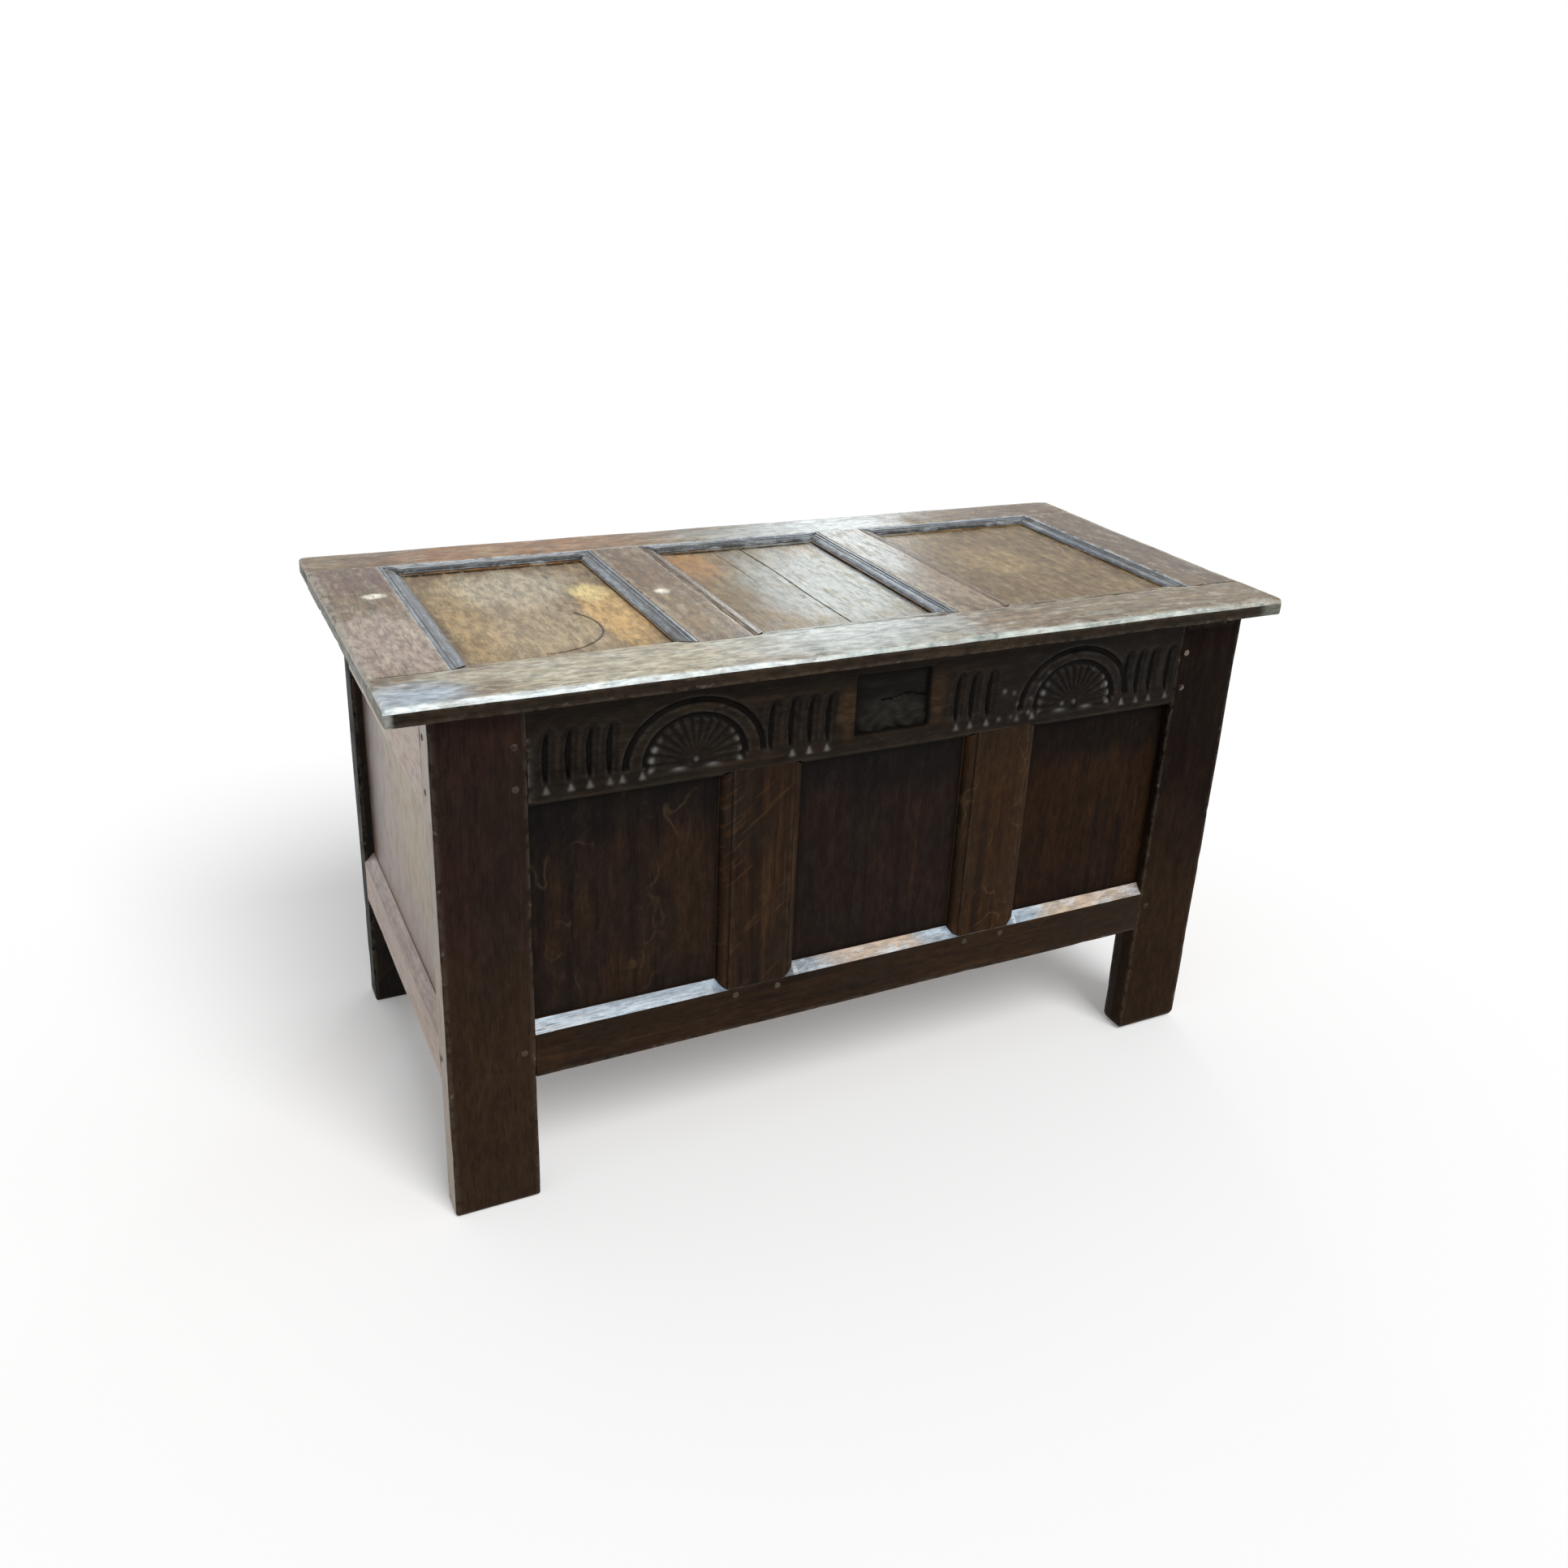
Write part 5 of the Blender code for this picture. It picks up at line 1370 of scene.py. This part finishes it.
# Pegs, nails, hinges and floor
PEG_R, PEG_PROUD, PEG_SIDES = 0.0045, 0.0006, 14
PEG_DEEP, SHORT_PEG = 0.025, 0.012
PEG_HEAD = ((0.5, 0.93), (1.0, 0.72), (1.05, 0.2))
PEG_LOBES, PEG_PHASE = ((0.05, 3), (0.04, 5)), (0, 6)
PEG_WORN, PEG_KEPT = 1.0, 0.25
PEG_WORN_FROM = (0.4, 0.5)
PEG_SET = 0.014
PEG_HEIGHTS = (LEG_H + 0.040, HIGH_SIGHT + 0.028, HIGH_SIGHT + 0.095)
MUNTIN_PEG_X, MUNTIN_PEG_Z = 0.025, (LOW_SIGHT - 0.014, HIGH_SIGHT + 0.014)
SIDE_PEG_WEAR, REAR_PEG_WEAR = 0.4, 0.3


def round_rings(place, along, up, turn, radii, rows):
    """Rings about a point of a wall, from rows of a depth and a share of the radii."""
    across, rise = radii * np.cos(turn), radii * np.sin(turn)
    return np.array([place(along + size * across, up + size * rise, depth) for depth, size in rows])


def peg_rings(place, along, up, draw, deep=SHORT_PEG):
    """Rings of a riven peg, a little out of round, with an eased head."""
    turn = np.linspace(0.0, 2 * math.pi, PEG_SIDES, endpoint=False)
    uneven = np.ones(PEG_SIDES)
    for lobe, count in PEG_LOBES:
        uneven += lobe * np.sin(count * turn + draw.uniform(*PEG_PHASE))
    rows = [(deep, 1.0), (0.0, 1.0), *((-PEG_PROUD * rise, size) for rise, size in PEG_HEAD)]
    return round_rings(place, along, up, turn, PEG_R * uneven, rows)


def front_pegs():
    draw = np.random.default_rng(FRONT_PEG_SEED)
    material = oak("peg_oak", Y, Z, FRONT_PEG_SEED, PEG_LOOK)
    for node in sorted(SLOT_OF):
        if node.startswith("peg_"):
            box_low, box_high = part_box(node)
            x, z = (box_low.x + box_high.x) / 2, (box_low.z + box_high.z) / 2
            worn = PEG_WORN if x > PEG_WORN_FROM[0] and z > PEG_WORN_FROM[1] else PEG_KEPT
            dress(joined(f"{node}_riven", [peg_rings(front, x, z, draw, PEG_DEEP)], material, worn), node)


def other_pegs():
    """Pegs that the solids leave out: those of the sides and the rear."""
    draw = np.random.default_rng(OTHER_PEG_SEED)

    def corner_pegs(place, reach):
        return [peg_rings(place, sign * (reach + PEG_SET), z, draw) for sign in (-1, 1) for z in PEG_HEIGHTS]

    for name, place in (("left", left), ("right", right)):
        material = oak(f"{name}_peg_oak", X, Z, SIDE_PEG_SEED, PEG_LOOK)
        pegs = joined(f"{name}_pegs", corner_pegs(place, SIDE_REACH), material, SIDE_PEG_WEAR)
        attach(pegs, "carcase")
    rings = corner_pegs(rear, STILE_IN)
    rings += [peg_rings(rear, sign * REAR_MUNTIN_X + step * MUNTIN_PEG_X, z, draw)
              for sign in (-1, 1) for step in (-1, 1) for z in MUNTIN_PEG_Z]
    material = oak("rear_peg_oak", Y, Z, REAR_PEG_SEED, PEG_LOOK)
    attach(joined("rear_pegs", rings, material, REAR_PEG_WEAR), "carcase")


NAIL_R, NAIL_SIDES, NAIL_TURN = 0.0036, 8, 1.5
NAIL_PROUD, SUNK_PROUD = 0.0014, 0.0003
NAIL_FACETS, FACET_RISE = 4, 0.09
NAIL_SHANK = ((0.004, 0.35), (0.0003, 0.35), (0.0002, 1.0))
NAIL_HEAD = ((0.4, 0.92), (1.0, 0.36))
# Rows of hinge nails: how far along a leaf and how far apart, as shares; and how far the first row moves in
NAIL_ROWS = ((0.30, 0.2), (0.55, 0.26), (0.86, 0.34))
BODY_NAIL_IN, LID_NAIL_IN = 0.006, 0.010
LEAF_T = 0.0025


def nail_rings(place, along, up, surface, draw, proud):
    """Rings of a rose-headed nail: four hammered facets round a small flat."""
    turn = np.linspace(0.0, 2 * math.pi, NAIL_SIDES, endpoint=False) + draw.uniform(0.0, NAIL_TURN)
    facets = 1.0 + FACET_RISE * np.cos(NAIL_FACETS * turn)
    rows = [*NAIL_SHANK, *((-proud * rise, size) for rise, size in NAIL_HEAD)]
    rows = [(surface + depth, size) for depth, size in rows]
    return round_rings(place, along, up, turn, NAIL_R * facets, rows)


def leaf_nails(leaf, axis, inset, place, middle, surface, draw, proud):
    """Nails in pairs along a hinge leaf."""
    top, length, width = high(leaf, axis), high(leaf, axis) - low(leaf, axis), 2 * half_width(leaf)
    spots = [(middle + sign * spread * width, top - share * length - inset)
             for share, spread in NAIL_ROWS for sign in (-1, 1)]
    return [nail_rings(place, along, up, surface, draw, proud) for along, up in spots]


def hinges():
    """The hinges of the solids in forged iron, and the nails through their leaves."""
    draw = np.random.default_rng(HINGE_SEED)
    material = iron("hinge_iron", HINGE_SEED)
    body_nails, lid_nails = [], []
    for side in ("left", "right"):
        for part in ("body_leaf", "lid_leaf", "pin"):
            made = frame["nodes"][f"{side}_hinge_{part}"]
            made.data.materials.clear()
            made.data.materials.append(material)
        leaf = f"{side}_hinge_body_leaf"
        middle, plate = middle_x(leaf), low(leaf, Y) - BACK_Y + LEAF_T
        body_nails += leaf_nails(leaf, Z, BODY_NAIL_IN, rear, -middle, -plate, draw, NAIL_PROUD)
        leaf = f"{side}_hinge_lid_leaf"
        lid_nails += leaf_nails(leaf, Y, LID_NAIL_IN, under_lid, middle, 0.0, draw, SUNK_PROUD)
    attach(joined("hinge_body_nails", body_nails, iron("body_nail_iron", BODY_NAIL_SEED)), "carcase")
    attach(joined("hinge_lid_nails", lid_nails, iron("lid_nail_iron", LID_NAIL_SEED)), "lid")


FLOOR_BOARDS = 5
FLOOR_NAIL_X, FLOOR_NAIL_Y = 0.025, RAIL_T + 0.014


def floor_boards():
    """Loose-edged bare boards with a nail at each corner."""
    draw = np.random.default_rng(FLOOR_SEED)
    nails = []
    for number in range(FLOOR_BOARDS):
        node, seed = f"floor_board_{number + 1}", FLOOR_BOARD_SEED + number
        box_low, box_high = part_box(node)
        x0, x1 = max(box_low.x, -STILE_IN + FIT), min(box_high.x, STILE_IN - FIT)
        corners = plain(x0, x1, box_high.z - box_low.z, (INNER_ARRIS, INNER_ARRIS))
        materials = [oak(f"{node}_{kind}", Y, Z, seed, BARE_LOOK) for kind in ("oak", "under")]
        sweep(node, corners, turned(inner_floor), box_low.y, box_high.y, seed, materials, COARSE_STATION)
        nails += [nail_rings(inner_floor, x, y, 0.0, draw, NAIL_PROUD)
                  for x in (x0 + FLOOR_NAIL_X, x1 - FLOOR_NAIL_X)
                  for y in (FRONT_Y + FLOOR_NAIL_Y, BACK_Y - FLOOR_NAIL_Y)]
    attach(joined("floor_nails", nails, iron("floor_nail_iron", FLOOR_NAIL_SEED)), "carcase")


# Camera, floor and light
WHITE = (1.0, 1.0, 1.0)
FLOOR_HALF = 30.0
FLOOR_COLOUR = (0.90, 0.90, 0.90)
FLOOR_ROUGH, FLOOR_SPECULAR, FLOOR_GLOW = 0.9, 0.1, 0.16
WORLD_STRENGTH = 0.45
KEY_WAY = (0.12, -0.64, 0.76)
KEY_PLACE = (0.0, 0.0, 3.0)
KEY_STRENGTH = 2.0
KEY_ANGLE = math.radians(30.0)
SHEEN_PLACE = (1.553, 2.713, 1.62)
SHEEN_AIM = (0.0, 0.0, 0.706)
SHEEN_SIZE = (0.5, 1.0)
SHEEN_POWER = 6.0
SHEEN_COLOUR = (0.86, 0.95, 1.0)


def camera():
    made = bpy.data.objects.new("camera", bpy.data.cameras.new("camera"))
    made.data.lens = CAMERA_LENS
    made.data.sensor_width = CAMERA_SENSOR
    made.data.shift_x, made.data.shift_y = CAMERA_SHIFT
    columns = Matrix((CAMERA_RIGHT, CAMERA_UP, CAMERA_BACK)).transposed()
    made.matrix_world = Matrix.Translation(CAMERA_EYE) @ columns.to_4x4()
    bpy.context.scene.collection.objects.link(made)
    bpy.context.scene.camera = made


def lamp(name, kind, place, back, **settings):
    """A lamp at a place that shines against a direction."""
    data = bpy.data.lights.new(name, kind)
    for key, value in settings.items():
        setattr(data, key, value)
    made = bpy.data.objects.new(name, data)
    made.location = place
    made.rotation_euler = back.to_track_quat("Z", "Y").to_euler()
    bpy.context.scene.collection.objects.link(made)
    return made


def stage():
    mesh = bpy.data.meshes.new("stage_floor")
    corners = [(x * FLOOR_HALF, y * FLOOR_HALF, 0) for x, y in ((-1, -1), (1, -1), (1, 1), (-1, 1))]
    mesh.from_pydata(corners, [], [(0, 1, 2, 3)])
    floor = bpy.data.objects.new("stage_floor", mesh)
    bpy.context.scene.collection.objects.link(floor)
    material = bpy.data.materials.new("stage_floor")
    s = Shade(material)
    s.finish({
        "Emission Color": WHITE, "Emission Strength": s.shown(0.0, FLOOR_GLOW), "Base Color": FLOOR_COLOUR,
        "Roughness": FLOOR_ROUGH, "Specular IOR Level": FLOOR_SPECULAR,
    })
    mesh.materials.append(material)


def light():
    world = bpy.data.worlds.new("studio")
    bpy.context.scene.world = world
    s = Shade(world, "Background")
    s.finish({"Color": WHITE, "Strength": s.shown(WORLD_STRENGTH, 1.0)})
    lamp("key", "SUN", KEY_PLACE, Vector(KEY_WAY), energy=KEY_STRENGTH, angle=KEY_ANGLE)
    way = Vector(SHEEN_PLACE) - Vector(SHEEN_AIM)
    sheen = lamp("sheen", "AREA", SHEEN_PLACE, way, energy=SHEEN_POWER, shape="RECTANGLE",
                 size=SHEEN_SIZE[0], size_y=SHEEN_SIZE[1], color=SHEEN_COLOUR)
    sheen.visible_camera = False


camera()
stiles()
front_rails_and_muntins()
rear_and_side_rails()
wall_panels()
frieze()
lock_patch()
lid_rails()
lid_uprights()
lid_panels()
front_pegs()
other_pegs()
hinges()
floor_boards()
stage()
light()
bpy.context.scene.view_settings.view_transform = "Standard"
